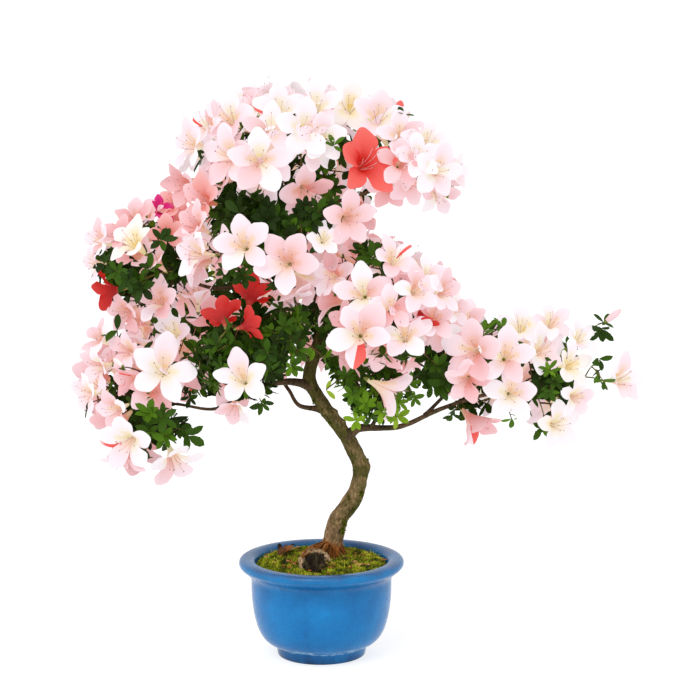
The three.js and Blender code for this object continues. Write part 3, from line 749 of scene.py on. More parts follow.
def bark_material(name, light, middle, dark, foot):
    """Fissured bark with dark patches and algae, and with brown fibres where it has a foot in the soil.

    The algae thicken on faces that turn down and high on the trunk: partly real growth, partly painted shade.
    """
    nodes = Nodes(name, 0.85, 0.25)
    fissures = nodes.noise(470, 7, 0.68, stretch=(1, 1, 0.42), distortion=0.6)
    pale = mixed(light, (255, 240, 215), 0.2)
    wood = nodes.ramp(fissures, [(0.26, dark), (0.4, middle), (0.62, light), (0.8, pale)])
    patches = nodes.noise(75, 5, 0.6)
    tone = nodes.ramp(nodes.noise(46, 5, 0.65), [(0.36, (104, 92, 76)), (0.6, (255, 250, 244))])
    wood = nodes.blend(nodes.spread(patches, 0.2, 0.8, 0.7, 1.0), wood, tone, "MULTIPLY")
    spots = nodes.ramp(nodes.noise(135, 3), [(0.3, (84, 74, 52)), (0.39, (255, 255, 255))])
    wood = nodes.blend(nodes.spread(patches, 0.3, 0.6, 0.5, 0.9), wood, spots, "MULTIPLY")
    algae = nodes.ramp(fissures, [(0.3, (30, 30, 8)), (0.64, (98, 92, 36))])
    height = nodes.upward(nodes.place)
    # Darker green algae on faces that turn down, and on the trunk higher up: partly real growth, partly
    # painted shade
    shade_and_algae = nodes.spread(nodes.upward(nodes.normal), 0.05, -0.45, 0.0, 0.5 if foot else 0.2)
    if foot:
        shade_and_algae = nodes.total(shade_and_algae, nodes.spread(height, 0.27, 0.33, 0.0, 0.55))
    upper = nodes.spread(height, 0.14, 0.2, 0.0, 0.6 if foot else 0.1)
    green = nodes.total(upper, nodes.spread(patches, 0.5, 0.66, 0.0, 0.6 if foot else 0.2))
    green = nodes.total(green, shade_and_algae)
    wood = nodes.blend(nodes.spread(green, 0.0, 1.0), wood, algae)
    if foot:
        fibres = nodes.ramp(fissures, [(0.3, (74, 40, 14)), (0.65, (186, 112, 44))])
        near_ground = nodes.total(nodes.spread(height, 0.106, 0.132, 1.0, 0.0), patches)
        wood = nodes.blend(nodes.spread(near_ground, 0.72, 1.15), wood, fibres)
    nodes.colour(wood)
    nodes.roughness(nodes.spread(fissures, 0.3, 0.7, 0.95, 0.7))
    nodes.bump(fissures, 0.55, 0.0012)
    return nodes.material


def moss_material():
    """The ground between the blades of moss: old moss and bare earth."""
    nodes = Nodes("moss_bed", 0.95, 0.2)
    green = nodes.ramp(nodes.noise(420, 6, 0.7), [
        (0.28, (30, 34, 6)), (0.45, (92, 98, 14)), (0.6, (142, 146, 26)), (0.78, (182, 178, 58)),
    ])
    earth = nodes.ramp(nodes.noise(600, 5), [(0.3, (40, 26, 12)), (0.7, (120, 86, 46))])
    bare = nodes.spread(nodes.noise(60, 4, 0.6), 0.54, 0.66, 0.0, 0.85)
    nodes.colour(nodes.blend(bare, green, earth))
    nodes.bump(nodes.noise(900, 5, 0.7), 0.8, 0.002)
    return nodes.material


# Blossom tints: throat, blade and edge of the petals on screen
TINTS = {
    "white": ((250, 240, 214), (254, 246, 250), (255, 251, 253)),
    "cream": ((248, 232, 178), (254, 245, 239), (254, 247, 245)),
    "blush": ((248, 218, 197), (252, 230, 236), (253, 240, 245)),
    "pink": ((240, 188, 176), (248, 210, 214), (250, 224, 229)),
    "rose": ((232, 154, 142), (243, 186, 188), (246, 202, 205)),
    "salmon": ((228, 124, 108), (241, 164, 158), (245, 186, 184)),
    "red": ((214, 40, 32), (241, 86, 76), (245, 104, 94)),
    "scarlet": ((166, 14, 14), (206, 36, 32), (218, 54, 48)),
    "magenta": ((192, 18, 80), (224, 28, 126), (230, 60, 146)),
}
# A petal throws back part of its light, and a warmer glow stands for what comes through it
PETAL_SHARE = np.array([0.41, 0.42, 0.43])
PETAL_GLOW = np.array([0.57, 0.545, 0.545])
PETAL_WARMTH = 1.32
BRIGHTER = {"white": 0.97, "cream": 0.98}
NEAR_TINTS = {  # tints that single petals of a blossom may take instead of its own
    "white": ("white", "white", "white", "blush"),
    "cream": ("cream", "cream", "white"),
    "blush": ("blush", "blush", "white", "pink"),
    "pink": ("pink", "pink", "pink", "blush", "rose"),
    "rose": ("rose", "rose", "pink"),
    "salmon": ("salmon", "salmon", "rose"),
    "red": ("red",),
    "scarlet": ("scarlet",),
    "magenta": ("magenta",),
}
BLOTCHES = {
    "white": (248, 234, 184), "cream": (246, 220, 130), "blush": (246, 210, 162), "pink": (238, 176, 144),
}
BLOTCH_FADE = (0.0, 0.2, 0.42, 0.65, 0.85)


def petal_bands(throat, blade, edge):
    """Colours from the foot of the tube to the rim of the petal."""
    foot = mixed(throat, (214, 226, 150), 0.35)
    inner = [mixed(throat, blade, share) for share in (0.3, 0.55, 0.75, 0.9, 1.0)]
    outer = [mixed(blade, edge, share) for share in (0.25, 0.5, 0.75, 1.0)]
    return [foot, mixed(foot, throat, 0.6), throat, *inner, *outer]


def blossom_palette():
    """Materials of the blossoms, and where each tint, blotch and small part starts among them."""
    palette = []
    starts = {}
    for tint, colours in TINTS.items():
        starts[tint] = len(palette)
        for band, colour in enumerate(petal_bands(*colours)):
            palette.append(petal_material(f"petal_{tint}_{band}", colour, tint))
    for tint, colour in BLOTCHES.items():
        starts["blotch_" + tint] = len(palette)
        for band, share in enumerate(BLOTCH_FADE):
            shown = mixed(colour, TINTS[tint][1], share)
            palette.append(petal_material(f"blotch_{tint}_{band}", shown, tint))
    for part, colour in (("filament", (226, 178, 178)), ("anther", (150, 98, 84)), ("calyx", (122, 132, 58))):
        starts[part] = len(palette)
        palette.append(plain_material(part, colour, 0.6, 0.3))
    return palette, starts


LEAF_GREENS = [
    (27, 43, 9), (38, 60, 14), (51, 79, 16), (68, 101, 18), (88, 124, 23), (112, 146, 30), (140, 168, 50),
]
# The leaves give off a painted glow that lightens their shade, standing for light that comes through them
LEAF_SHARE = 1.0
LEAF_GLOW = 0.19
TWIG_BROWNS = [(72, 52, 34), (96, 70, 44), (116, 112, 52)]


# Limbs with bark


def bark_relief(place, along, angle, radius):
    """How far bark stands out at a point: long ridges, cross cracks and low swellings."""
    x = 2.1 * math.cos(angle)
    y = 2.1 * math.sin(angle)
    ridges = 1 - abs(noise.noise((x * 1.7, y * 1.7, along * 0.045)))
    fine = noise.noise((x * 4.5, y * 4.5, along * 0.16))
    swell = noise.noise((x * 0.6, y * 0.6, along * 0.05 + 7))
    crack = noise.noise((place[0] * 0.3, place[1] * 0.3, place[2] * 0.42))
    size = min(1.0, radius / 8)
    return size * (1.25 * (ridges - 0.75) + 0.42 * fine + 0.75 * swell + 0.3 * crack)


KNOTS = [  # middle, width and height of swellings and stubs on the trunk
    ((50, 3, 208), 8, 3.2), ((34, -4, 226), 7, 2.4), ((28, 6, 168), 7, 2.2), ((46, 0, 190), 6, 1.8),
    ((6, -5, 268), 7, 2.2), ((14, 22, 150), 7, 1.8), ((-18, 2, 300), 7, 2.0), ((22, -2, 152), 5, 1.3),
    ((16, 0, 270), 3.5, 2.6), ((24, 1, 258), 3.5, 2.4), ((44, -2, 212), 4, 1.6), ((-4, 3, 284), 4, 1.6),
]


TRUNK_SIDES = 72
BOUGH_SIDES = 22
ROOT_SIDES = 48
LIMB_SPACING = 1.3  # millimetres between the rings of the trunk and the boughs
ROOT_SPACING = 0.8
BOUGH_SHARE = 0.88  # how thick the boughs and the root are, as shares of their solids
ROOT_SHARE = 0.68
ROOT_ROUGHNESS = 2.5
BOUGH_FLARE = 0.55  # how much thicker a bough is where it leaves its limb
BOUGH_FLARE_LENGTH = 2.2  # in radii
FOOT_HEIGHT = 26.0  # how far above the soil the trunk's foot is ribbed


def limb_shape(points, sides, spacing, flare=False, foot=False, thinner=1.0, rough=0.0):
    """A limb with its bark's relief, as points and triangles."""
    line, radii = limb_line(points, spacing)
    radii = thinner * radii
    across, beside = cross_directions(line[None])
    length = spacing * np.arange(len(line))
    if flare:
        radii = radii * (1 + BOUGH_FLARE * np.exp(-length / (BOUGH_FLARE_LENGTH * radii[0])))
    angles = circle(sides)
    out = across[0, :, None] * np.cos(angles)[:, None] + beside[0, :, None] * np.sin(angles)[:, None]
    shape = np.empty_like(out)
    for ring in range(len(line)):
        for side in range(sides):
            radius = radii[ring]
            place = line[ring] + radius * out[ring, side]
            radius += bark_relief(place, length[ring] + 31 * sides, angles[side], radius)
            if rough:
                radius += rough * (noise.noise(tuple(0.2 * place)) + 0.6 * noise.noise(tuple(0.5 * place)))
            if foot:
                low = 1 - min(1, max(0, (line[ring, 2] - SOIL_TOP) / FOOT_HEIGHT))
                radius *= 1 - 0.26 * low + 0.1 * low * math.cos(5 * angles[side] + 0.6)
                for middle, width, rise in KNOTS:
                    radius += rise * math.exp(-sum((place - middle) ** 2) / width**2)
            shape[ring, side] = line[ring] + radius * out[ring, side]
    points = np.concatenate([shape.reshape(-1, 3), line[-1:]])
    return points, tube_triangles(len(line), sides)


def make_wood():
    """The trunk, the boughs and the surface root, each with its bark."""
    trunk_bark = bark_material("bark_trunk", (204, 172, 130), (148, 118, 84), (64, 46, 30), True)
    bough_bark = bark_material("bark_boughs", (118, 92, 72), (82, 62, 46), (38, 28, 20), False)
    root_bark = bark_material("bark_root", (222, 198, 164), (176, 142, 104), (84, 58, 36), False)
    trunk = Piece([trunk_bark])
    trunk.add(*limb_shape(LIMBS["trunk"], TRUNK_SIDES, LIMB_SPACING, foot=True), 0)
    trunk.make("trunk_bark", "bark", ["trunk"])
    boughs = Piece([bough_bark])
    names = [name for name in LIMBS if name != "trunk"]
    for name in names:
        shape = limb_shape(LIMBS[name], BOUGH_SIDES, LIMB_SPACING, flare=True, thinner=BOUGH_SHARE)
        boughs.add(*shape, 0)
    boughs.make("boughs_bark", "bark", names)
    root = Piece([root_bark] + plain_palette("root", FIBRE_BROWNS + HOLLOW_BROWNS_AND_SHADE, 0.9, 0.15))
    shape = limb_shape(SURFACE_ROOT, ROOT_SIDES, ROOT_SPACING, thinner=ROOT_SHARE, rough=ROOT_ROUGHNESS)
    root.add(*shape, 0)
    add_root_mound(root)
    add_root_fibres(root)
    root.make("surface_root_bark", "bark", ["surface_root"])


FIBRE_BROWNS = [(150, 88, 34), (112, 66, 30), (176, 122, 66)]
# Browns of the mound under the surface root; the near-black ones are painted shade of the hollow
HOLLOW_BROWNS_AND_SHADE = [(24, 18, 13), (38, 29, 20), (58, 45, 30), (52, 56, 34), (96, 76, 52)]
ROOT_MOUND = (-7.5, -32.0, 13.0, 22.0, 13.0)  # middle x and y, half width, half depth and height
MOUND_RINGS = 26
MOUND_TURNS = 72
MOUND_SINK = 2.0  # how far the mound goes down into the soil


def add_root_mound(root):
    """The dark mound that fills the hollow under the surface root: old wood, with near-black browns that are
    painted shade of the hollow.
    """
    x, y, width, depth, height = ROOT_MOUND
    points = []
    for lean in np.linspace(0, math.pi / 2, MOUND_RINGS):
        for angle in circle(MOUND_TURNS):
            side = (math.cos(lean) * math.cos(angle), math.cos(lean) * math.sin(angle), math.sin(lean))
            coarse = noise.noise(tuple(3 * part for part in side))
            fine = noise.noise(tuple(9 * part for part in side))
            rough = 1 + 0.3 * coarse + 0.2 * fine
            points.append((x + width * rough * side[0], y + depth * rough * side[1],
                           SOIL_TOP - MOUND_SINK + (height + MOUND_SINK) * rough * side[2]))
    points.append((x, y, SOIL_TOP + height))
    points = np.array(points)
    triangles = tube_triangles(MOUND_RINGS, MOUND_TURNS)
    first = 1 + len(FIBRE_BROWNS)
    slots = []
    for middle in points[triangles].mean(1):
        tone = 1.3 + 3.2 * noise.noise(tuple(0.14 * middle)) + 2.4 * noise.noise(tuple(0.5 * middle))
        slots.append(first + min(len(HOLLOW_BROWNS_AND_SHADE) - 1, max(0, round(tone))))
    root.add(points, triangles, np.array(slots))


ROOTLET_SEED = 23
SPREAD_ROOTLETS = 130
DRAPED_ROOTLETS = 60
ROOTLET_POINTS = 6
ROOTLET_SIDES = 4


def draped_rootlets(rng, middle):
    """Rootlets from the foot of the trunk over the crest of the surface root."""
    line, _ = limb_line(SURFACE_ROOT, 1.0)
    crest = line[line[:, 2] > SOIL_TOP + 8]
    count = DRAPED_ROOTLETS
    end = crest[rng.integers(0, len(crest), count)] + [-1.5, -2.5, 1.5] + rng.normal(0, 1.2, (count, 3))
    out = unit((end - middle) * [1, 1, 0])
    start = middle + out * rng.uniform(9, 12, count)[:, None] + UP * rng.uniform(5, 14, count)[:, None]
    bend = end - out * rng.uniform(4, 8, count)[:, None] + UP * rng.uniform(4, 8, count)[:, None]
    return bent_line(start, bend + rng.normal(0, 1.5, (count, 3)), end, ROOTLET_POINTS)


def add_root_fibres(root):
    """Thin rootlets that spread from the foot of the trunk over the moss and the surface root."""
    rng = np.random.default_rng(ROOTLET_SEED)
    count = SPREAD_ROOTLETS
    middle = np.array(LIMBS["trunk"][1][:3])
    side = level(rng.uniform(0, 2 * math.pi, count))
    start = middle + side * rng.uniform(8, 11, count)[:, None] + UP * rng.uniform(2, 11, count)[:, None]
    reach = rng.uniform(3, 9, count) * (1 + 1.2 * (side @ unit([-1, -0.6, 0]) > 0.3))
    end = start + side * reach[:, None] + rng.normal(0, 3, (count, 3))
    end[:, 2] = SOIL_TOP + rng.uniform(-0.5, 1.5, count)
    bend = (start + end) / 2 + UP * rng.uniform(0, 3, count)[:, None] + rng.normal(0, 1.5, (count, 3))
    lines = np.vstack([bent_line(start, bend, end, ROOTLET_POINTS), draped_rootlets(rng, middle)])
    count = len(lines)
    radii = np.linspace(0.75, 0.3, ROOTLET_POINTS) * rng.uniform(0.6, 1.3, (count, 1))
    points, triangles = tubes(lines, radii, ROOTLET_SIDES)
    slots = np.repeat(rng.integers(1, 1 + len(FIBRE_BROWNS), count), len(triangles) // count)
    root.add(points, triangles, slots)


# Pot and moss


def pot_profile():
    """Points (radius, height) round the pot's section, from the underside to the inner floor."""
    inner_neck = POT_NECK - POT_WALL

    def sweep(start, first, second, end, count):
        share = np.linspace(0, 1, count + 1)[1:, None]
        start, first, second, end = (np.array(p, float) for p in (start, first, second, end))
        return (
            start * (1 - share) ** 3 + first * 3 * share * (1 - share) ** 2
            + second * 3 * share**2 * (1 - share) + end * share**3
        )

    foot_top = (POT_FOOT, POT_FOOT_HEIGHT)
    belly = (POT_NECK - 0.5, POT_LIP_BOTTOM - 20)
    neck = (POT_NECK, POT_LIP_BOTTOM)
    brim = (POT_RIM, POT_HEIGHT - 5.5)
    crest = (POT_RIM - 9, POT_HEIGHT)
    mouth = (POT_MOUTH, POT_HEIGHT - 6)
    parts = [
        [(0.01, 0), (POT_FOOT - 8, 0), (POT_FOOT - 3.2, 0), (POT_FOOT - 2.3, 0.6), (POT_FOOT - 1.9, 2)],
        [(POT_FOOT - 1.2, 6), (POT_FOOT - 0.3, POT_FOOT_HEIGHT - 0.8), foot_top],
        sweep(foot_top, (POT_FOOT + 17, POT_FOOT_HEIGHT + 3),
              (POT_NECK - 3, POT_FOOT_HEIGHT + 22), belly, 28),
        sweep(belly, (POT_NECK, POT_LIP_BOTTOM - 13), (POT_NECK, POT_LIP_BOTTOM - 6), neck, 8),
        sweep(neck, (POT_NECK + 1, POT_HEIGHT - 14), (POT_RIM, POT_HEIGHT - 12), brim, 20),
        sweep(brim, (POT_RIM, POT_HEIGHT - 1), (POT_RIM - 4, POT_HEIGHT), crest, 16),
        sweep(crest, (POT_MOUTH + 4, POT_HEIGHT), (POT_MOUTH, POT_HEIGHT - 2), mouth, 16),
        [(inner_neck, POT_LIP_BOTTOM)],
        sweep((inner_neck, POT_LIP_BOTTOM), (inner_neck - 2, POT_FOOT_HEIGHT + 26),
              (POT_FOOT + 6, POT_FLOOR), (POT_FOOT - 6, POT_FLOOR), 12),
        [(0.01, POT_FLOOR)],
    ]
    return np.vstack([np.array(part, float) for part in parts])


def make_pot():
    """The pot, slightly out of round, with its drain holes."""
    profile = pot_profile()
    angles = circle(POT_SIDES)
    wobble = 1 + 0.0025 * np.sin(2 * angles + 0.4) + 0.0015 * np.sin(3 * angles + 1.1)
    rings = np.empty((len(profile), POT_SIDES, 3))
    rings[..., 0] = profile[:, None, 0] * np.cos(angles) * wobble
    rings[..., 1] = profile[:, None, 0] * np.sin(angles) * wobble
    rings[..., 2] = profile[:, None, 1]
    pot = Piece([glaze_material()])
    pot.add(rings.reshape(-1, 3), wall_triangles(len(profile), POT_SIDES), 0)
    piece = pot.make("pot_glazed", "glaze", ["pot"])
    cut_drain_holes(piece)


DRILL_SIDES = 32
DRILL_BOTTOM = -8.0
DRILL_LENGTH = 32.0


def cut_drain_holes(piece):
    """Cuts the holes in the pot's floor and keeps the result as the pot's own mesh."""
    drills = []
    for k, middle in enumerate(DRAIN_CIRCLE * level(circle(DRAIN_COUNT))):
        low = DRAIN_RADIUS * level(circle(DRILL_SIDES)) + middle + [0, 0, DRILL_BOTTOM]
        high = low + [0, 0, DRILL_LENGTH]
        after = [(a + 1) % DRILL_SIDES for a in range(DRILL_SIDES)]
        walls = [(a, b, DRILL_SIDES + b, DRILL_SIDES + a) for a, b in enumerate(after)]
        ends = [tuple(range(DRILL_SIDES - 1, -1, -1)), tuple(range(DRILL_SIDES, 2 * DRILL_SIDES))]
        drill = bpy.data.meshes.new(f"drill_{k}")
        drill.from_pydata((np.vstack([low, high]) * MM).tolist(), [], walls + ends)
        tool = new_object(drill.name, drill)
        cut = piece.modifiers.new(tool.name, "BOOLEAN")
        cut.operation = "DIFFERENCE"
        cut.object = tool
        drills.append(tool)
    bpy.context.view_layer.update()
    solid = bpy.data.meshes.new_from_object(piece.evaluated_get(bpy.context.evaluated_depsgraph_get()))
    piece.modifiers.clear()
    piece.data = solid
    for tool in drills:
        bpy.data.objects.remove(tool)


def soil_height(radius):
    """Height of the soil's top at a distance from the pot's axis."""
    fall = np.clip((radius - SOIL_FLAT) / (POT_MOUTH - SOIL_FLAT), 0, 1)
    return SOIL_TOP - (SOIL_TOP - SOIL_EDGE) * fall**1.6


MOSS_EDGE = 62.0  # where the cushions grow flatter towards the pot's mouth
MOSS_EDGE_WIDTH = 10.0


def moss_height(x, y):
    """Height of the mossy ground, with cushions of moss and hollows between them."""
    radius = math.hypot(x, y)
    cushions = noise.noise((x * 0.06, y * 0.06, 3.1)) * 1.8 + noise.noise((x * 0.16, y * 0.16, 1.7)) * 1.2
    grain = noise.noise((x * 0.5, y * 0.5, 0.3)) * 0.7
    edge = 1 - max(0.0, (radius - MOSS_EDGE) / MOSS_EDGE_WIDTH)
    return float(soil_height(radius)) + 0.6 + (cushions + grain) * max(0.15, edge)


MOSS_RINGS = 90
MOSS_TURNS = 220
MOSS_BOTTOM = 88.0
MOSS_RADIUS = POT_MOUTH - 1.3
BLADE_SEED = 11
BLADE_COUNT = 9000
BLADE_RADIUS = POT_MOUTH - 3  # of the round in which blades grow
TALL_BLADES = 0.03  # the share of the blades that are thin and tall


def make_moss():
    """The mossy ground, with its blades and what lies on it."""
    points = [(0.0, 0.0, moss_height(0, 0))]
    for radius in MOSS_RADIUS * (np.arange(1, MOSS_RINGS + 1) / MOSS_RINGS) ** 0.75:
        for angle in circle(MOSS_TURNS):
            x = radius * math.cos(angle)
            y = radius * math.sin(angle)
            points.append((x, y, moss_height(x, y)))
    for angle in circle(MOSS_TURNS):
        points.append((MOSS_RADIUS * math.cos(angle), MOSS_RADIUS * math.sin(angle), MOSS_BOTTOM))
    walls = wall_triangles(MOSS_RINGS + 1, MOSS_TURNS) + 1
    middle = np.array([(0, 1 + k, 1 + (k + 1) % MOSS_TURNS) for k in range(MOSS_TURNS)])
    bed = Piece([moss_material()])
    bed.add(np.array(points), np.concatenate([middle, walls]), 0)
    bed.make("moss_bed", "moss", ["mossy_soil"])
    make_moss_blades()


# Greens of the moss, and browns of what lies on it
MOSS_COLOURS = [
    (50, 60, 8), (92, 106, 12), (133, 147, 18), (168, 178, 30), (194, 194, 48), (206, 196, 78),
    (150, 92, 40), (206, 150, 104), (96, 62, 32), (34, 26, 18), (158, 92, 34),
]
MOSS_GREENS = 6


def make_moss_blades():
    rng = np.random.default_rng(BLADE_SEED)
    blades = Piece(plain_palette("moss", MOSS_COLOURS, 0.8, 0.25))
    count = BLADE_COUNT
    radius = BLADE_RADIUS * np.sqrt(rng.random(count))
    angle = 2 * np.pi * rng.random(count)
    x = radius * np.cos(angle)
    y = radius * np.sin(angle)
    foot = np.array([(a, b, moss_height(a, b) - 0.5) for a, b in zip(x, y)])
    clump = np.array([noise.noise((a * 0.09, b * 0.09, 5.0)) for a, b in zip(x, y)])
    tall = rng.random(count) < TALL_BLADES
    tall_length = rng.uniform(5, 9, count)
    short_length = rng.uniform(1.6, 3.6, count) + 1.2 * np.maximum(clump, 0)
    length = np.where(tall, tall_length, short_length)
    lean = rng.normal(0, 0.45, (count, 2))
    ahead = unit(np.column_stack([lean, np.ones(count)]))
    side = level(2 * np.pi * rng.random(count))
    width = np.where(tall, 0.35, rng.uniform(0.5, 0.95, count))[:, None]
    middle = foot + ahead * (0.55 * length)[:, None]
    tip = foot + ahead * length[:, None] + np.column_stack([lean * 1.4, np.zeros(count)])
    points = np.stack([foot - side * width, foot + side * width, middle + side * width * 0.8,
                       middle - side * width * 0.8, tip], 1)
    triangles = copies(np.array([(0, 1, 2), (0, 2, 3), (3, 2, 4)]), 5, count)
    shade = np.clip(np.round(2 + 4.4 * clump + rng.normal(0, 0.8, count)), 0, MOSS_GREENS - 1).astype(int)
    blades.add(points.reshape(-1, 3), triangles, np.repeat(shade, 3))
    add_litter(blades, rng)
    add_dry_leaves(blades, rng)
    add_trunk_moss(blades, rng)
    blades.make("moss_blades", "moss")


# Bits on the moss, by their pixel in the photograph, with their half length and colour
LITTER = [
    ((357, 566), 4.5, 7), ((371, 557), 3.5, 10), ((381, 559), 3.5, 10), ((362, 556), 3, 6),
    ((291, 563), 4, 6), ((285, 548), 6, 8), ((288, 551), 5, 9), ((282, 553), 4, 6),
    ((310, 543), 5, 10), ((318, 569), 4, 8), ((330, 569), 4, 6), ((366, 561), 3, 8),
]
# Dry leaves that stand out of the moss, by pixel, with length, heading, lean and colour
DRY_LEAVES = [
    ((278, 557), 17, 62, 34, 8), ((281, 556), 19, 40, 26, 6), ((284, 553), 16, 20, 40, 9),
    ((288, 552), 15, 5, 22, 7), ((280, 554), 14, 95, 50, 9), ((292, 551), 12, 150, 30, 8),
    ((287, 555), 13, 70, 48, 6), ((355, 567), 11, 15, 14, 7), ((358, 565), 9, 170, 18, 6),
    ((366, 557), 10, 200, 12, 10), ((380, 560), 9, 10, 14, 10), ((291, 566), 10, 30, 20, 10),
]
# Moss on the trunk, by pixel, with its half width
TRUNK_MOSS = [
    ((345, 523), 5.2), ((353, 507), 3.4), ((361, 493), 3.2), ((349, 495), 2.4), ((342, 530), 3.0),
    ((367, 467), 2.8), ((368, 460), 2.6), ((366, 475), 2.2), ((322, 412), 3.0), ((314, 402), 3.0),
    ((330, 424), 2.6),
]


def add_trunk_moss(blades, rng):
    """Small cushions of moss on the trunk's bark."""
    line, radii = limb_line(LIMBS["trunk"], 1.0)
    column, row, _ = on_photo(line)
    for pixel, width in TRUNK_MOSS:
        nearest = int(np.argmin(np.hypot(column - pixel[0], row - pixel[1])))
        axis = line[nearest]
        across = (pixel[0] - column[nearest]) / FOCAL_PIXELS * np.linalg.norm(axis - CAMERA_PLACE)
        toward = math.sqrt(max(1.0, radii[nearest] ** 2 - across**2))
        for _ in range(round(60 * width)):
            side = rng.normal(0, 0.45 * width)
            out = unit(np.array([across + side, -toward, 0.0]))
            foot = axis + out * (radii[nearest] + 0.2) + UP * rng.normal(0, 0.8 * width)
            tip = foot + out * rng.uniform(0.8, 2.0) + rng.normal(0, 0.5, 3)
            edge = unit(np.cross(out, rng.normal(0, 1, 3))) * 0.8
            shade = int(rng.integers(0, 3))
            blades.add(np.array([foot - edge, foot + edge, tip]), np.array([[0, 1, 2]]), shade)


SMALL_BITS = 110
BIT_RADIUS = POT_MOUTH - 6  # of the round in which bits lie
BIT_SIDES = 6


def add_litter(blades, rng):
    """Bark bits and a fallen petal that lie on the moss, and small bits strewn between them."""
    chosen = []
    for pixel, size, shade in LITTER:
        place = on_ground(pixel, SOIL_TOP)
        chosen.append((place[0], place[1], size, shade))
    spread = [(rng.uniform(-62, 62), rng.uniform(-60, 40), rng.uniform(1.2, 3.2), rng.integers(6, 11))
              for _ in range(SMALL_BITS)]
    ring = circle(BIT_SIDES)
    fan = np.array([(k, (k + 1) % BIT_SIDES, BIT_SIDES) for k in range(BIT_SIDES)])
    for x, y, size, shade in chosen + spread:
        if math.hypot(x, y) > BIT_RADIUS:
            continue
        turn = rng.uniform(0, 2 * math.pi)
        ahead = (math.cos(turn), math.sin(turn), 0)
        beside = (-math.sin(turn), math.cos(turn), 0)
        flat = np.stack([size * np.cos(ring), 0.5 * size * np.sin(ring), 0.5 * np.cos(2 * ring)], 1)
        place = np.array([x, y, moss_height(x, y) + 1.6])
        points = np.vstack([flat @ np.array([ahead, beside, UP]) + place, place + [0, 0, 0.9]])
        blades.add(points, fan, int(shade))


def add_dry_leaves(blades, rng):
    """Brown leaves that stand out of the moss."""
    dry = []
    for pixel, length, heading, lean, shade in DRY_LEAVES:
        place = on_ground(pixel, SOIL_TOP)
        foot = np.array([place[0], place[1], moss_height(place[0], place[1]) + 1.0])
        lean = math.radians(lean)
        way = level(math.radians(heading))
        dry.append(Leaf(foot, way * math.cos(lean) + UP * math.sin(lean), UP - 0.8 * way, length, shade))
    add_leaves(blades, rng, dry)


# Blossoms


PETALS = 5
TUBE_LENGTH = 20.0
TUBE_FOOT = 1.5
TUBE_LEAN = math.radians(9)
THROAT_LEAN = math.radians(32)
THROAT_RISE = 18.0  # how far the throat stands before the foot of the tube
PETAL_LENGTH = 29.0
PETAL_HALF_WIDTH = 11.2
WIDTH_PLACES = [0, 0.12, 0.25, 0.4, 0.55, 0.7, 0.82, 0.92, 1.0]
WIDTH_SHARES = [0.6, 0.64, 0.75, 0.89, 0.98, 1.0, 0.965, 0.875, 0.7]
WIDTH_ACROSS = 65.0  # how wide an open blossom of these sizes is
CURVE_POINTS = 60  # points along the curves of the tube and of the petal
BANDS = 12


class PetalGrid:
    """How finely a petal and its share of the tube are divided, and where each of its triangles lies."""

    def __init__(self, tube_rows, limb_rows, columns):
        limb = 1 + np.linspace(0, 1, limb_rows + 1) ** 0.9
        self.rows = np.concatenate([np.linspace(0, 1, tube_rows, endpoint=False), limb])
        self.side = np.linspace(-1, 1, columns)
        self.triangles = grid_triangles(len(self.rows), columns)
        steps = len(self.rows) - 1
        self.along = np.repeat((self.rows[1:] + self.rows[:-1]) / 2, 2 * (columns - 1))
        self.across = np.tile(np.repeat((self.side[1:] + self.side[:-1]) / 2, 2), steps)
        tube_band = self.along * 3
        limb_band = 3 + (self.along - 1) * (BANDS - 3)
        self.band = np.clip(np.where(self.along < 1, tube_band, limb_band), 0, BANDS - 1).astype(int)


FINE_PETAL = PetalGrid(3, 9, 7)
PLAIN_PETAL = PetalGrid(2, 6, 5)


def petal_points(rng, grid, spread, angle, larger):
    """One petal of a blossom that faces +Z, with its share of the tube, as a grid of points."""
    length = PETAL_LENGTH * larger * (1 + rng.normal(0, 0.04))
    half_width = PETAL_HALF_WIDTH * larger * (1 + rng.normal(0, 0.07))
    opening = math.radians(spread + rng.normal(0, 9))
    curl = math.radians(rng.uniform(0, 30))
    fine = np.linspace(0, 1, CURVE_POINTS)
    gaps = CURVE_POINTS - 1
    tube_lean = TUBE_LEAN + (THROAT_LEAN - TUBE_LEAN) * fine**2
    limb_lean = THROAT_LEAN + (opening - THROAT_LEAN) * (1 - (1 - fine) ** 1.8) + curl * fine**3
    lean = np.concatenate([tube_lean, limb_lean[1:]])
    step = np.concatenate([np.full(CURVE_POINTS, TUBE_LENGTH / gaps), np.full(gaps, length / gaps)])
    radius = TUBE_FOOT + np.cumsum(step * np.sin(lean))
    height = np.cumsum(step * np.cos(lean))
    travelled = np.concatenate([fine, 1 + fine[1:]])

    row, across = np.meshgrid(grid.rows, grid.side, indexing="ij")
    blade = np.clip(row - 1, 0, 1)
    row = row - rng.uniform(0.15, 0.23) * across**2 * blade**2
    r = np.interp(row, travelled, radius)
    h = np.interp(row, travelled, height)
    tilt = np.interp(row, travelled, lean)
    closed = r * math.tan(math.pi / PETALS) * 1.03
    open_width = half_width * np.interp(blade, WIDTH_PLACES, WIDTH_SHARES)
    width = np.where(blade > 0, open_width, closed)
    turn = angle + across * np.minimum(width / r, 0.72)

    phase = rng.uniform(0, 2 * math.pi, 2)
    cup = rng.normal(0.04, 0.1) + 0.1 * (1 - blade) - 0.16 * blade**2
    wave = 1.7 * blade * np.sin(8 * blade + phase[0] + 1.5 * np.sign(across)) * np.abs(across) ** 1.5
    rib = -1.1 * np.sin(np.pi * blade) * np.exp(-(across / 0.28) ** 2)
    twist = (1.3 * np.sin(np.pi * np.minimum(1, 1.2 * blade)) + rng.normal(0, 0.9) * blade) * across
    lift = np.where(blade > 0, cup * width * across**2 + wave + rib + twist, 0)
    out = r - lift * np.cos(tilt)
    up = h + lift * np.sin(tilt)
    return np.stack([out * np.cos(turn), out * np.sin(turn), up], -1).reshape(-1, 3)


MARKED_PETAL = {"red_half": 3, "red_stripe": 4, "red_edge": 1}  # counted from the upper petal to the left


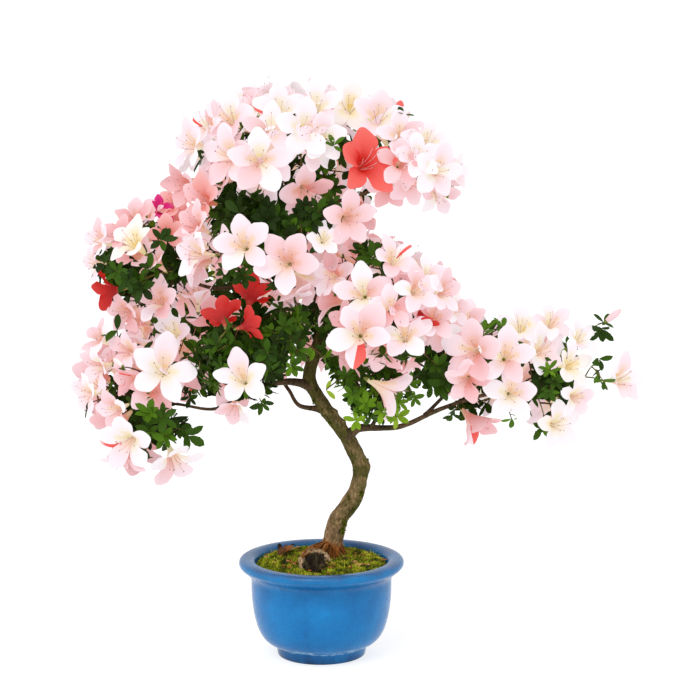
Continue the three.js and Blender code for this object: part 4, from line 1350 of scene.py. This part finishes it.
def petal_slots(starts, grid, tint, petal, mark):
    """The material of each triangle of a petal."""
    slots = starts[tint] + grid.band
    blotch = starts.get("blotch_" + tint)
    if blotch is not None and petal in (0, 1, PETALS - 1):
        half, end = (0.6, 1.5) if petal == 0 else (0.3, 1.32)
        spot = (np.abs(grid.across) < half) & (grid.along > 0.7) & (grid.along < end)
        step = np.clip((grid.along - 0.75) / 0.15, 0, len(BLOTCH_FADE) - 1).astype(int)
        slots = np.where(spot, blotch + step, slots)
    if mark and petal == MARKED_PETAL[mark]:
        if mark == "red_half":
            shown = (grid.across > 0) & (grid.along > 1.1)
        elif mark == "red_stripe":
            shown = (np.abs(grid.across - 0.17) < 0.1) & (grid.along > 1.05) & (grid.along < 1.9)
        else:
            shown = (grid.across > 0.6) & (grid.along > 1.1)
        slots = np.where(shown, starts["red"] + grid.band, slots)
    return slots


STAMENS = 6
STYLE_LENGTH = 42.0
STAMEN_POINTS = 5
STAMEN_SIDES = 3
STAMEN_RADIUS = 0.27
ANTHER_RADII = (0.22, 0.5, 0.25)
ANTHER_HALF = 0.9


def add_stamens(piece, starts, rng, place, scale):
    """Thin filaments that lean low and curl up at their dark anthers, and a longer style."""
    count = STAMENS
    turn = circle(count) + rng.uniform(0, 1)
    away = rng.uniform(6, 11, count)
    length = rng.uniform(30, 37, count)
    length[0] = STYLE_LENGTH
    start = np.stack([1.6 * np.cos(turn), 1.6 * np.sin(turn), np.full(count, 4.0)], 1)
    end = np.stack([away * np.cos(turn) + 1.5, away * np.sin(turn), length], 1)
    bend = np.stack([0.2 * away * np.cos(turn) - 4, 0.3 * away * np.sin(turn), 0.62 * length], 1)
    lines = bent_line(start, bend, end, STAMEN_POINTS)
    points, triangles = tubes(lines, np.full((count, STAMEN_POINTS), STAMEN_RADIUS), STAMEN_SIDES)
    piece.add(place(points * scale), triangles, starts["filament"])
    tip = lines[:, -1]
    ahead = unit(lines[:, -1] - lines[:, -2])
    across = unit(np.cross(ahead, [0.3, 0.5, 0.1]))
    anther = np.stack([tip - ANTHER_HALF * across, tip, tip + ANTHER_HALF * across], 1)
    points, triangles = tubes(anther, np.tile(ANTHER_RADII, (count, 1)), STAMEN_SIDES)
    piece.add(place(points * scale), triangles, starts["anther"])


CALYX_LINE = np.array([[0, 0, -2.5], [0, 0, 0], [0, 0, 2.5]])
CALYX_RADII = np.array([0.9, 2.2, 2.0])
CALYX_SIDES = 6
UPPER_PETAL = 1.06  # how much larger the upper petal is


def add_blossom(piece, starts, rng, grid, foot, facing, upward, across, tint, mark, spread):
    """Adds one open blossom whose tube stands on foot, with its upper petal towards upward."""
    scale = across / WIDTH_ACROSS
    upper = unit(upward - facing * (upward @ facing))
    beside = np.cross(facing, upper)
    turned = np.stack([upper, beside, facing])

    def place(points):
        return foot + points @ turned

    for petal in range(PETALS):
        angle = 2 * math.pi * petal / PETALS + rng.normal(0, 0.08)
        larger = UPPER_PETAL if petal == 0 else 1.0
        points = petal_points(rng, grid, spread, angle, larger)
        near = NEAR_TINTS[tint]
        own = near[int(rng.integers(0, len(near)))]
        slots = petal_slots(starts, grid, own, petal, mark)
        piece.add(place(points * scale), grid.triangles, slots)
    add_stamens(piece, starts, rng, place, scale)
    points, triangles = tubes(CALYX_LINE[None], CALYX_RADII[None], CALYX_SIDES)
    piece.add(place(points * scale), triangles, starts["calyx"])


BUD_SHARES = np.array([0.0, 0.15, 0.4, 0.65, 0.85, 0.96])
BUD_WIDTHS = 0.16 * np.array([0.25, 0.62, 0.95, 1.0, 0.66, 0.25])  # in lengths
BUD_SIDES = 8


def add_bud(piece, starts, foot, tip, tint):
    """Adds a closed bud: a swollen tube with a green foot."""
    length = np.linalg.norm(tip - foot)
    line = foot + (tip - foot) * BUD_SHARES[:, None]
    points, triangles = tubes(line[None], (BUD_WIDTHS * length)[None], BUD_SIDES)
    slots = np.full(len(triangles), starts[tint] + BANDS - 3)
    second_half = (len(BUD_SHARES) - 1) * BUD_SIDES
    for first in (0, second_half):  # both triangles of each wall of the lowest ring
        slots[first:first + BUD_SIDES] = starts["calyx"]
    piece.add(points, triangles, slots)


# Leaves


LEAF_ROWS = ((0.28, 0.72), (0.56, 1.0), (0.82, 0.76))  # share of the length and of the half width


def leaf_template():
    """One leaf along +X with its upper face to +Z, of unit length and half width, folded along its rib."""
    points = [(0, 0, 0)]
    for along, width in LEAF_ROWS:
        points += [(along, -width, 1), (along, 0, 0), (along, width, 1)]
    points.append((1, 0, 0))
    faces = [(0, 2, 1), (0, 3, 2)]
    for row in range(2):
        a = 1 + 3 * row
        for side in range(2):
            faces += [(a + side, a + side + 1, a + side + 4), (a + side, a + side + 4, a + side + 3)]
    faces += [(7, 8, 10), (8, 9, 10)]
    return np.array(points, float), np.array(faces)


LEAF_POINTS, LEAF_FACES = leaf_template()
Leaf = namedtuple("Leaf", "foot ahead face length shade")


def add_leaves(piece, rng, leaves):
    """Adds many leaves at once: their feet, directions, upper faces, lengths and greens."""
    foot, ahead, face, length, shade = (np.array(values) for values in zip(*leaves))
    ahead = unit(ahead)
    side = unit(np.cross(face, ahead))
    face = np.cross(ahead, side)
    half = length * rng.uniform(0.18, 0.26, len(leaves))
    fold = rng.uniform(0.1, 0.4, len(leaves))
    droop = rng.uniform(-0.05, 0.32, len(leaves))
    along = LEAF_POINTS[:, 0]
    points = (
        foot[:, None]
        + ahead[:, None] * (along * length[:, None])[..., None]
        + side[:, None] * (LEAF_POINTS[:, 1] * half[:, None])[..., None]
        + face[:, None] * ((LEAF_POINTS[:, 2] * (fold * half)[:, None])
                           - (droop * length)[:, None] * along**2)[..., None]
    )
    triangles = copies(LEAF_FACES, len(LEAF_POINTS), len(leaves))
    piece.add(points.reshape(-1, 3), triangles, np.repeat(shade, len(LEAF_FACES)))


def whorl(rng, tip, facing, count, size, opening, shade):
    """Leaves in a ring round the end of a twig."""
    helper = UP if abs(facing[2]) < 0.9 else RIGHT
    across = unit(np.cross(facing, helper))
    beside = np.cross(facing, across)
    start = rng.uniform(0, 2 * math.pi)
    leaves = []
    for k in range(count):
        angle = start + 2 * math.pi * (k + rng.uniform(-0.2, 0.2)) / count
        out = across * math.cos(angle) + beside * math.sin(angle)
        lean = math.radians(opening + rng.normal(0, 12))
        ahead = facing * math.cos(lean) + out * math.sin(lean)
        face = facing * math.sin(lean) - out * math.cos(lean) + 0.25 * UP
        length = size * rng.uniform(0.75, 1.1)
        own = int(np.clip(shade + rng.integers(-1, 2) * (rng.random() < 0.35), 0, len(LEAF_GREENS) - 1))
        leaves.append(Leaf(tip - facing * rng.uniform(0, 3), ahead, face, length, own))
    return leaves


def leaves_along(rng, line, count, size, shade):
    """Single leaves along the outer half of a twig."""
    leaves = []
    for _ in range(count):
        share = rng.uniform(0.45, 0.95) * (len(line) - 1)
        k = min(int(share), len(line) - 2)
        foot = line[k] + (line[k + 1] - line[k]) * (share - k)
        ahead = unit(line[k + 1] - line[k])
        out = unit(np.cross(ahead, rng.normal(0, 1, 3)))
        way = ahead * 0.55 + out
        leaves.append(Leaf(foot, way, UP + 0.5 * ahead + 0.3 * out, size * rng.uniform(0.6, 0.95), shade))
    return leaves


# Growing the masses


def mass_weight(mass):
    """The square of a mass's size, by which its borders with its neighbours are shared out."""
    return sum(reach**2 for reach in mass.reach) / 3


def inside_borders(point, name):
    """The least distance from a point to the borders between its mass and the others."""
    mass = MASSES[name]
    own = np.sum((point - np.array(mass.middle)) ** 2) - mass_weight(mass)
    least = 1e9
    for other_name, other in MASSES.items():
        if other_name != name:
            theirs = np.sum((point - np.array(other.middle)) ** 2) - mass_weight(other)
            apart = np.linalg.norm(np.array(mass.middle) - np.array(other.middle))
            least = min(least, (theirs - own) / (2 * apart))
    return least


def stem_line(mass, count):
    """The line of a mass's stem, which carries its limb on to its middle, and the stem's first radius."""
    line, radii = limb_line(LIMBS[mass.limb], 2.0)
    ahead = unit(line[-1] - line[-2])
    end = np.array(mass.middle, float)
    bend = line[-1] + ahead * 0.5 * np.linalg.norm(end - line[-1])
    return bent_line(line[-1], bend, end, count), radii[-1]


Tip = namedtuple("Tip", "point facing blossom")


def golden_ways(count, turn):
    """That many directions, spread by the golden angle."""
    for k in range(count):
        height = 1 - (2 * k + 1) / count
        flat = math.sqrt(1 - height * height)
        angle = turn + k * GOLDEN_ANGLE
        yield np.array([flat * math.cos(angle), flat * math.sin(angle), height])


def light_over(mass):
    """The direction that a mass gets its light from."""
    return unit(unit(np.array(mass.middle, float) - CROWN_MIDDLE) + 0.9 * UP)


def tip_at(mass, way, far, tilt, blossom):
    """A tip in some direction from the middle of a mass, some share of the mass's reach away."""
    reach = np.array(mass.reach) - (BLOSSOM_ROOM if blossom else SPRAY_ROOM)
    facing = unit(unit(way * reach) + UP * (TIP_LIFT + tilt))
    return Tip(np.array(mass.middle, float) + way * reach * far, facing, blossom)


def source_tips(mass, seed):
    """The tips that the CAD model spreads round a mass, by the same rule and the same draws."""
    draw = seeded_draw(seed)
    light = light_over(mass)
    drawn = []
    for way in golden_ways(mass.blossoms + mass.sprays, 2 * math.pi * draw()):
        lit = way @ light + LIGHT_CHANCE * (draw() - 0.5)
        for _ in range(2):  # two draws that serve the CAD model alone
            draw()
        tilt = 0.6 * (draw() - 0.5)
        far = 0.84 + 0.18 * draw()
        drawn.append((lit, way, far, tilt))
    drawn.sort(key=lambda row: -row[0])
    return [tip_at(mass, *row[1:], rank < mass.blossoms) for rank, row in enumerate(drawn)]


def finer_tips(mass, rng, shell, count):
    """More tips on a shell inside a mass, spread by the same golden angle."""
    light = light_over(mass)
    tips = []
    for way in golden_ways(count, 2 * math.pi * rng.random()):
        lit = way @ light + LIGHT_CHANCE * (rng.random() - 0.5)
        tilt = rng.uniform(-0.3, 0.3)
        far = shell.far + rng.uniform(-0.07, 0.05)
        tips.append(tip_at(mass, way, far, tilt, lit > 1 - 2 * shell.blossom_share))
    return tips


def in_leaf_patch(point):
    """Whether a point behind the front lies where the crown bears leaves instead of blossom."""
    return point[1] > FRONT_DEPTH and noise.noise(tuple(PATCH_SCALE * point)) > PATCH_LEVEL


def hides_wood(point, room):
    """Whether something at a point would stand before the wood that the photograph shows."""
    return point[1] < WOOD_DEPTH and in_places(point, WOOD_PLACES, room)


def wood_room():
    """Points along the limbs and their radii, for foliage to keep clear of."""
    lines = [limb_line(points, 3.0) for points in LIMBS.values()]
    return np.vstack([line for line, _ in lines]), np.concatenate([radii for _, radii in lines])


def tint_for(rng, point, depth):
    """Blossoms are nearly white at the top and on the far right, and pinker low and inside the crown.

    This is partly their own mix of colours and partly painted light and shade: paler where the top is lit,
    pinker deep inside.
    """
    pale = max(smooth_step(430, 560, point[2]), smooth_step(60, 200, point[0]))
    draw = rng.random()
    if draw < 0.035 and point[1] > 30 and abs(point[0]) > 50:
        return "red" if rng.random() < 0.6 else "scarlet"
    # Deep blossoms take pinker tints as painted shade, the warm light that comes through petals inside the
    # crown
    if depth < 0.75:
        if rng.random() < pale:
            return "blush"
        return "pink" if rng.random() < 0.5 else "rose"
    if draw < 0.1:
        return "cream"
    if rng.random() < 0.3 + 0.68 * pale:
        return "white" if rng.random() < 0.25 + 0.6 * pale else "blush"
    return "pink" if rng.random() < 0.75 else "rose"


RIM_SHARE = 0.46  # the radius of a blossom's rim as a share of its width
FRONT_SLACK = 6.0  # how far behind a front blossom something still counts as before it


class Crown:
    """What has grown so far: blossom places, for spacing, and the front blossoms, which stay in view."""

    def __init__(self):
        self.blossoms = []
        self.fronts = []
        self.wood, self.wood_radii = wood_room()

    def clear_of_wood(self, point, room):
        return np.all(np.sum((self.wood - point) ** 2, 1) > (self.wood_radii + room) ** 2)

    def clear_of_blossoms(self, point, room):
        return all(np.sum((point - other) ** 2) > room**2 for other in self.blossoms)

    def keep_in_view(self, throat, facing, across):
        """Notes a front blossom's place, radius and distance in the photograph."""
        column, row, distance = on_photo(throat + facing * 6)
        turned = abs(facing @ AHEAD)
        self.fronts.append((column, row, RIM_SHARE * across * (0.55 + 0.45 * turned), distance))

    def hides_front(self, point, width):
        """Whether something of some width at a point would stand before a front blossom."""
        column, row, distance = on_photo(point)
        for u, v, radius, far in self.fronts:
            if distance < far + FRONT_SLACK and math.hypot(column - u, row - v) < radius + width:
                return True
        return False


def front_facing(turn, lift):
    """The direction that lies some degrees right of and above the way to the camera."""
    turn = math.radians(turn)
    lift = math.radians(lift)
    sideways = math.cos(turn) * -AHEAD + math.sin(turn) * RIGHT
    return math.cos(lift) * sideways + math.sin(lift) * OVERHEAD


# Shells of finer tips from the outside in: the share of the mass's reach, the square millimetres to a tip,
# the share of tips that may bloom, the border that tips keep (past the mass's own where it is below 0), the
# room round a blossom, and the share of other tips that bear leaves, as a fixed part and a part of the mass's
# own leafiness
Shell = namedtuple("Shell", "far area blossom_share border bloom_room leaves own_leaves grid")
SHELLS = [
    Shell(0.97, 62, 0.95, -8, 29, 0.0, 1.0, FINE_PETAL),
    Shell(0.8, 80, 0.92, -8, 27, 0.0, 1.0, FINE_PETAL),
    Shell(0.62, 130, 0.75, -12, 25, 0.3, 0.5, PLAIN_PETAL),
    Shell(0.42, 260, 0.4, -12, 25, 0.6, 0.0, PLAIN_PETAL),
]
SOURCE_BORDER = -4
SOURCE_BLOOM_ROOM = 32

# Rooms and sizes of what grows at a tip, in millimetres, and the opening of its leaves in degrees
USUAL_LEAF_SIZE = 19.0
SPRAY_LEAVES = 6
SPRAY_OPENING = 62
SPRIG_OPENING = 60
SPRAY_REACH = 14
SPRAY_CLEARANCE = 15
WOOD_CLEARANCE = 7
BLOOM_INSET = 16
SPRIG_INSET = 10


class Grower:
    """Grows one mass: its stem, its twigs, and the leaves and blossoms on them."""

    def __init__(self, name, seed, crown, starts, palettes):
        self.name = name
        self.mass = MASSES[name]
        self.rng = np.random.default_rng(seed)
        self.crown = crown
        self.starts = starts
        self.twigs = Piece(palettes["twigs"])
        self.leaves = Piece(palettes["leaves"])
        self.blossoms = Piece(palettes["blossoms"])
        self.leaf_list = []
        self.twig_lines = []
        self.twig_radii = []
        self.joints = []
        self.paths = []
        self.grow_stem()

    def grow_stem(self):
        line, radius = stem_line(self.mass, STEM_POINTS)
        radii = np.linspace(radius, STEM_END_RADIUS, STEM_POINTS)
        self.twigs.add(*tubes(line[None], radii[None], STEM_SIDES), 0)
        lengths = lengths_along(line)
        for share in STEM_JOINTS:
            k = round(share * (STEM_POINTS - 1))
            self.joints.append(line[k])
            self.paths.append(lengths[k])

    def twig_to(self, point):
        """Grows a twig to a point from the joint that is near and not far along the wood."""
        joints = np.array(self.joints)
        cost = np.linalg.norm(joints - point, axis=1) + PATH_SHARE * np.array(self.paths)
        best = int(np.argmin(cost))
        start = joints[best]
        length = np.linalg.norm(point - start)
        wander = self.rng.normal(0, TWIG_WANDER * length, 3)
        line = bent_line(start, (start + point) / 2 + UP * TWIG_LIFT * length + wander, point, TWIG_POINTS)
        self.twig_lines.append(line)
        thinner = TWIG_THINNING * min(1, self.paths[best] / LONGEST_PATH)
        self.twig_radii.append(np.linspace(TWIG_FOOT_RADIUS - thinner, TWIG_TIP_RADIUS, TWIG_POINTS))
        for share, k in TWIG_JOINTS:
            self.joints.append(line[k])
            self.paths.append(self.paths[best] + share * length)
        return line

    def depth(self, point):
        """How far out a point lies, from 0 in the middle of the mass to 1 on its skin."""
        return np.linalg.norm((point - np.array(self.mass.middle)) / np.array(self.mass.reach))

    def shade(self, point):
        """The green of a spray: dark inside the mass, brighter where the light reaches it."""
        high = (point[2] - self.mass.middle[2]) / self.mass.reach[2]
        lighter = BRIGHTER_LEAVES.get(self.name, 0)
        bright = 1.7 * self.depth(point) + 0.6 * high + lighter + self.rng.normal(0, 1.1)
        return int(np.clip(round(bright), 0, len(LEAF_GREENS) - 1))

    def spray(self, point, facing):
        """Grows a spray of leaves on a twig."""
        size = LEAF_SIZES.get(self.name, USUAL_LEAF_SIZE)
        line = self.twig_to(point)
        facing = unit(facing + 0.5 * unit(line[-1] - line[-2]))
        shade = self.shade(point)
        self.leaf_list += whorl(self.rng, point, facing, SPRAY_LEAVES, size, SPRAY_OPENING, shade)
        self.leaf_list += leaves_along(self.rng, line, 3, size, shade)

    def blossom(self, grid, foot, facing, across, tint, spread, mark=None, upward=UP):
        """Grows a blossom on a twig, with a few leaves behind it."""
        line = self.twig_to(foot)
        upper = upward + self.rng.normal(0, 0.12, 3)
        add_blossom(self.blossoms, self.starts, self.rng, grid, foot, facing, upper, across, tint, mark,
                    spread)
        self.crown.blossoms.append(foot + facing * THROAT_RISE)
        shade = self.shade(foot)
        self.leaf_list += whorl(self.rng, foot - 4 * facing, facing, 2, 17, 84, shade)
        self.leaf_list += leaves_along(self.rng, line, 1, 18, shade)

    def front_bloom(self, bloom):
        """Grows a blossom that the photograph shows."""
        facing = front_facing(bloom.turn, bloom.lift)
        throat = front_of_mass(bloom.pixel, self.mass, BLOOM_INSET) + sight_line(bloom.pixel) * bloom.back
        self.crown.keep_in_view(throat, facing, bloom.across)
        scale = bloom.across / WIDTH_ACROSS
        foot = throat - facing * 0.85 * THROAT_RISE * scale
        upward = OVERHEAD if abs(bloom.lift) < 62 else AHEAD * math.copysign(1, bloom.lift)
        roll = math.radians(bloom.roll)
        upward = math.cos(roll) * upward + math.sin(roll) * unit(np.cross(upward, facing))
        turned = math.hypot(bloom.turn, bloom.lift) > 38
        spread = self.rng.uniform(58, 74) if turned else self.rng.uniform(72, 86)
        spread = bloom.spread or spread
        self.blossom(FINE_PETAL, foot, facing, bloom.across, bloom.tint, spread, bloom.mark, upward)

    def front_sprig(self, sprig):
        """Grows a spray of leaves that the photograph shows."""
        facing = front_facing(sprig.turn, sprig.lift)
        point = front_of_mass(sprig.pixel, self.mass, SPRIG_INSET) + sight_line(sprig.pixel) * sprig.back
        line = self.twig_to(point)
        self.leaf_list += whorl(self.rng, point, facing, sprig.leaves, sprig.size, SPRIG_OPENING, sprig.shade)
        self.leaf_list += leaves_along(self.rng, line, 2, sprig.size, sprig.shade)

    def front_bud(self, bud):
        """Grows a bud that the photograph shows."""
        foot = front_of_mass(bud.foot, self.mass, SPRIG_INSET)
        tip = front_of_mass(bud.tip, self.mass, SPRIG_INSET)
        self.twig_to(foot)
        add_bud(self.blossoms, self.starts, foot, tip, bud.tint)

    def may_bloom(self, foot, facing, across, room):
        """Whether a blossom has room, stays inside the outline and hides nothing of the photograph."""
        middle = foot + facing * THROAT_RISE
        if foot[1] < FRONT_DEPTH and (in_places(foot, LEAF_PLACES) or in_places(middle, LEAF_PLACES)):
            return False
        if in_leaf_patch(foot) or in_places(middle, SKY_PLACES, 16) or hides_wood(middle, 20):
            return False
        if not self.crown.clear_of_blossoms(middle, room):
            return False
        side = unit(np.cross(facing, AHEAD))
        over = np.cross(side, facing)
        turn = circle(8)
        round_rim = np.cos(turn)[:, None] * side + np.sin(turn)[:, None] * over
        rim = middle + across * (0.18 * facing + RIM_SHARE * round_rim)
        if not inside_outline(rim).all():
            return False
        return not self.crown.hides_front(middle, 0.2 * across)

    def tip(self, tip, border, bloom_room, leafy, grid):
        """Grows a tip of the rule, unless it leaves the mass's space or hides what the photograph shows."""
        point = tip.point
        if inside_borders(point, self.name) < border or in_places(point, SKY_PLACES):
            return
        if not self.crown.clear_of_wood(point, WOOD_CLEARANCE):
            return
        across = self.rng.uniform(54, 68)
        foot = point - BLOSSOM_SETBACK * tip.facing
        if tip.blossom and self.may_bloom(foot, tip.facing, across, bloom_room):
            spread = self.rng.uniform(60, 86)
            tint = tint_for(self.rng, point, self.depth(point))
            self.blossom(grid, foot, tip.facing, across, tint, spread)
            return
        if not in_places(point, LEAF_PLACES) and not in_leaf_patch(point):
            seen = tip.facing @ -AHEAD > -0.1
            if self.rng.random() > (0.3 * leafy if seen else leafy):
                return
        end = point + tip.facing * SPRAY_REACH
        if in_places(end, SKY_PLACES, 4) or hides_wood(point, 6) or hides_wood(end, 6):
            return
        if self.crown.hides_front(point + tip.facing * 8, 6):
            return
        inside = inside_outline(np.array([point, end])).all()
        if inside and self.crown.clear_of_blossoms(point, SPRAY_CLEARANCE):
            self.spray(point, tip.facing)

    def shell(self, shell):
        """Grows the finer tips of a shell, as many as the mass's size allows."""
        x, y, z = self.mass.reach
        area = (x * y + y * z + x * z) / 3
        count = round(SPARSE.get(self.name, 1.0) * area / shell.area)
        leafy = shell.leaves + shell.own_leaves * LEAFINESS[self.name]
        for tip in finer_tips(self.mass, self.rng, shell, count):
            self.tip(tip, shell.border, shell.bloom_room, leafy, shell.grid)

    def finish(self):
        points, triangles = tubes(np.array(self.twig_lines), np.array(self.twig_radii), TWIG_SIDES)
        slots = self.rng.integers(0, len(TWIG_BROWNS), len(self.twig_lines))
        self.twigs.add(points, triangles, np.repeat(slots, len(triangles) // len(slots)))
        add_leaves(self.leaves, self.rng, self.leaf_list)
        node = "mass_" + self.name
        self.twigs.make("twigs_" + self.name, "bark", [node])
        self.leaves.make("leaves_" + self.name, "foliage", [node])
        self.blossoms.make("blossoms_" + self.name, "foliage", [node])


def listed(kind, table):
    """The rows of a table of the front, each with the name of its mass."""
    return [(name, kind(*row)) for name, rows in table.items() for row in rows]


def make_foliage():
    blossom_materials, starts = blossom_palette()
    palettes = {
        "twigs": plain_palette("twig", TWIG_BROWNS, 0.8, 0.25),
        "leaves": plain_palette("leaf", LEAF_GREENS, 0.5, 0.08, LEAF_SHARE, LEAF_GLOW),
        "blossoms": blossom_materials,
    }
    crown = Crown()
    growers = {}
    for index, name in enumerate(MASSES):
        growers[name] = Grower(name, FIRST_SEED + index, crown, starts, palettes)
    for name, bloom in listed(Bloom, FRONT_BLOOMS):
        growers[name].front_bloom(bloom)
    for name, sprig in listed(Sprig, FRONT_SPRIGS):
        growers[name].front_sprig(sprig)
    for name, bud in listed(Bud, FRONT_BUDS):
        growers[name].front_bud(bud)
    for index, grower in enumerate(growers.values()):
        for tip in source_tips(grower.mass, FIRST_SEED + index):
            grower.tip(tip, SOURCE_BORDER, SOURCE_BLOOM_ROOM, LEAFINESS[grower.name], FINE_PETAL)
    for grower in growers.values():
        for shell in SHELLS:
            grower.shell(shell)
        grower.finish()


# Stage, light and camera


FLOOR_HALF = 90.0
FLOOR_DROP = 0.0004  # below the pot's underside, so that the two don't share a plane
SQUARE = ((-1, -1), (1, -1), (1, 1), (-1, 1))


def make_stage():
    corners = np.array([(FLOOR_HALF * x, FLOOR_HALF * y, -FLOOR_DROP) for x, y in SQUARE])
    mesh = mesh_from("floor", corners, np.array([(0, 1, 2), (0, 2, 3)]))
    mesh.materials.append(plain_material("floor_white", (250, 250, 250), 0.9, 0.1, 0.4, 0.75))
    floor = new_object("floor", mesh)

    world = bpy.data.worlds.new("soft_studio")
    world.use_nodes = True
    background = world.node_tree.nodes["Background"]
    background.inputs["Color"].default_value = (1, 1, 1, 1)
    background.inputs["Strength"].default_value = 0.95
    bpy.context.scene.world = world

    key = bpy.data.lights.new("key", "SUN")
    key.energy = 1.0
    key.angle = math.radians(30)
    lamp = new_object("key", key)
    lamp.rotation_euler = (math.radians(42), 0, math.radians(-24))


def make_camera():
    lens = bpy.data.cameras.new("camera")
    lens.sensor_width = SENSOR_WIDTH
    lens.lens = SENSOR_WIDTH * FOCAL_PIXELS / IMAGE_SIZE
    lens.clip_end = 300
    camera = new_object("camera", lens)
    camera.location = CAMERA_PLACE * MM
    camera.rotation_euler = (math.pi / 2 - CAMERA_DIP, 0, 0)
    bpy.context.scene.camera = camera
    bpy.context.scene.view_settings.view_transform = "Standard"


make_camera()
make_stage()
make_pot()
make_moss()
make_wood()
make_foliage()
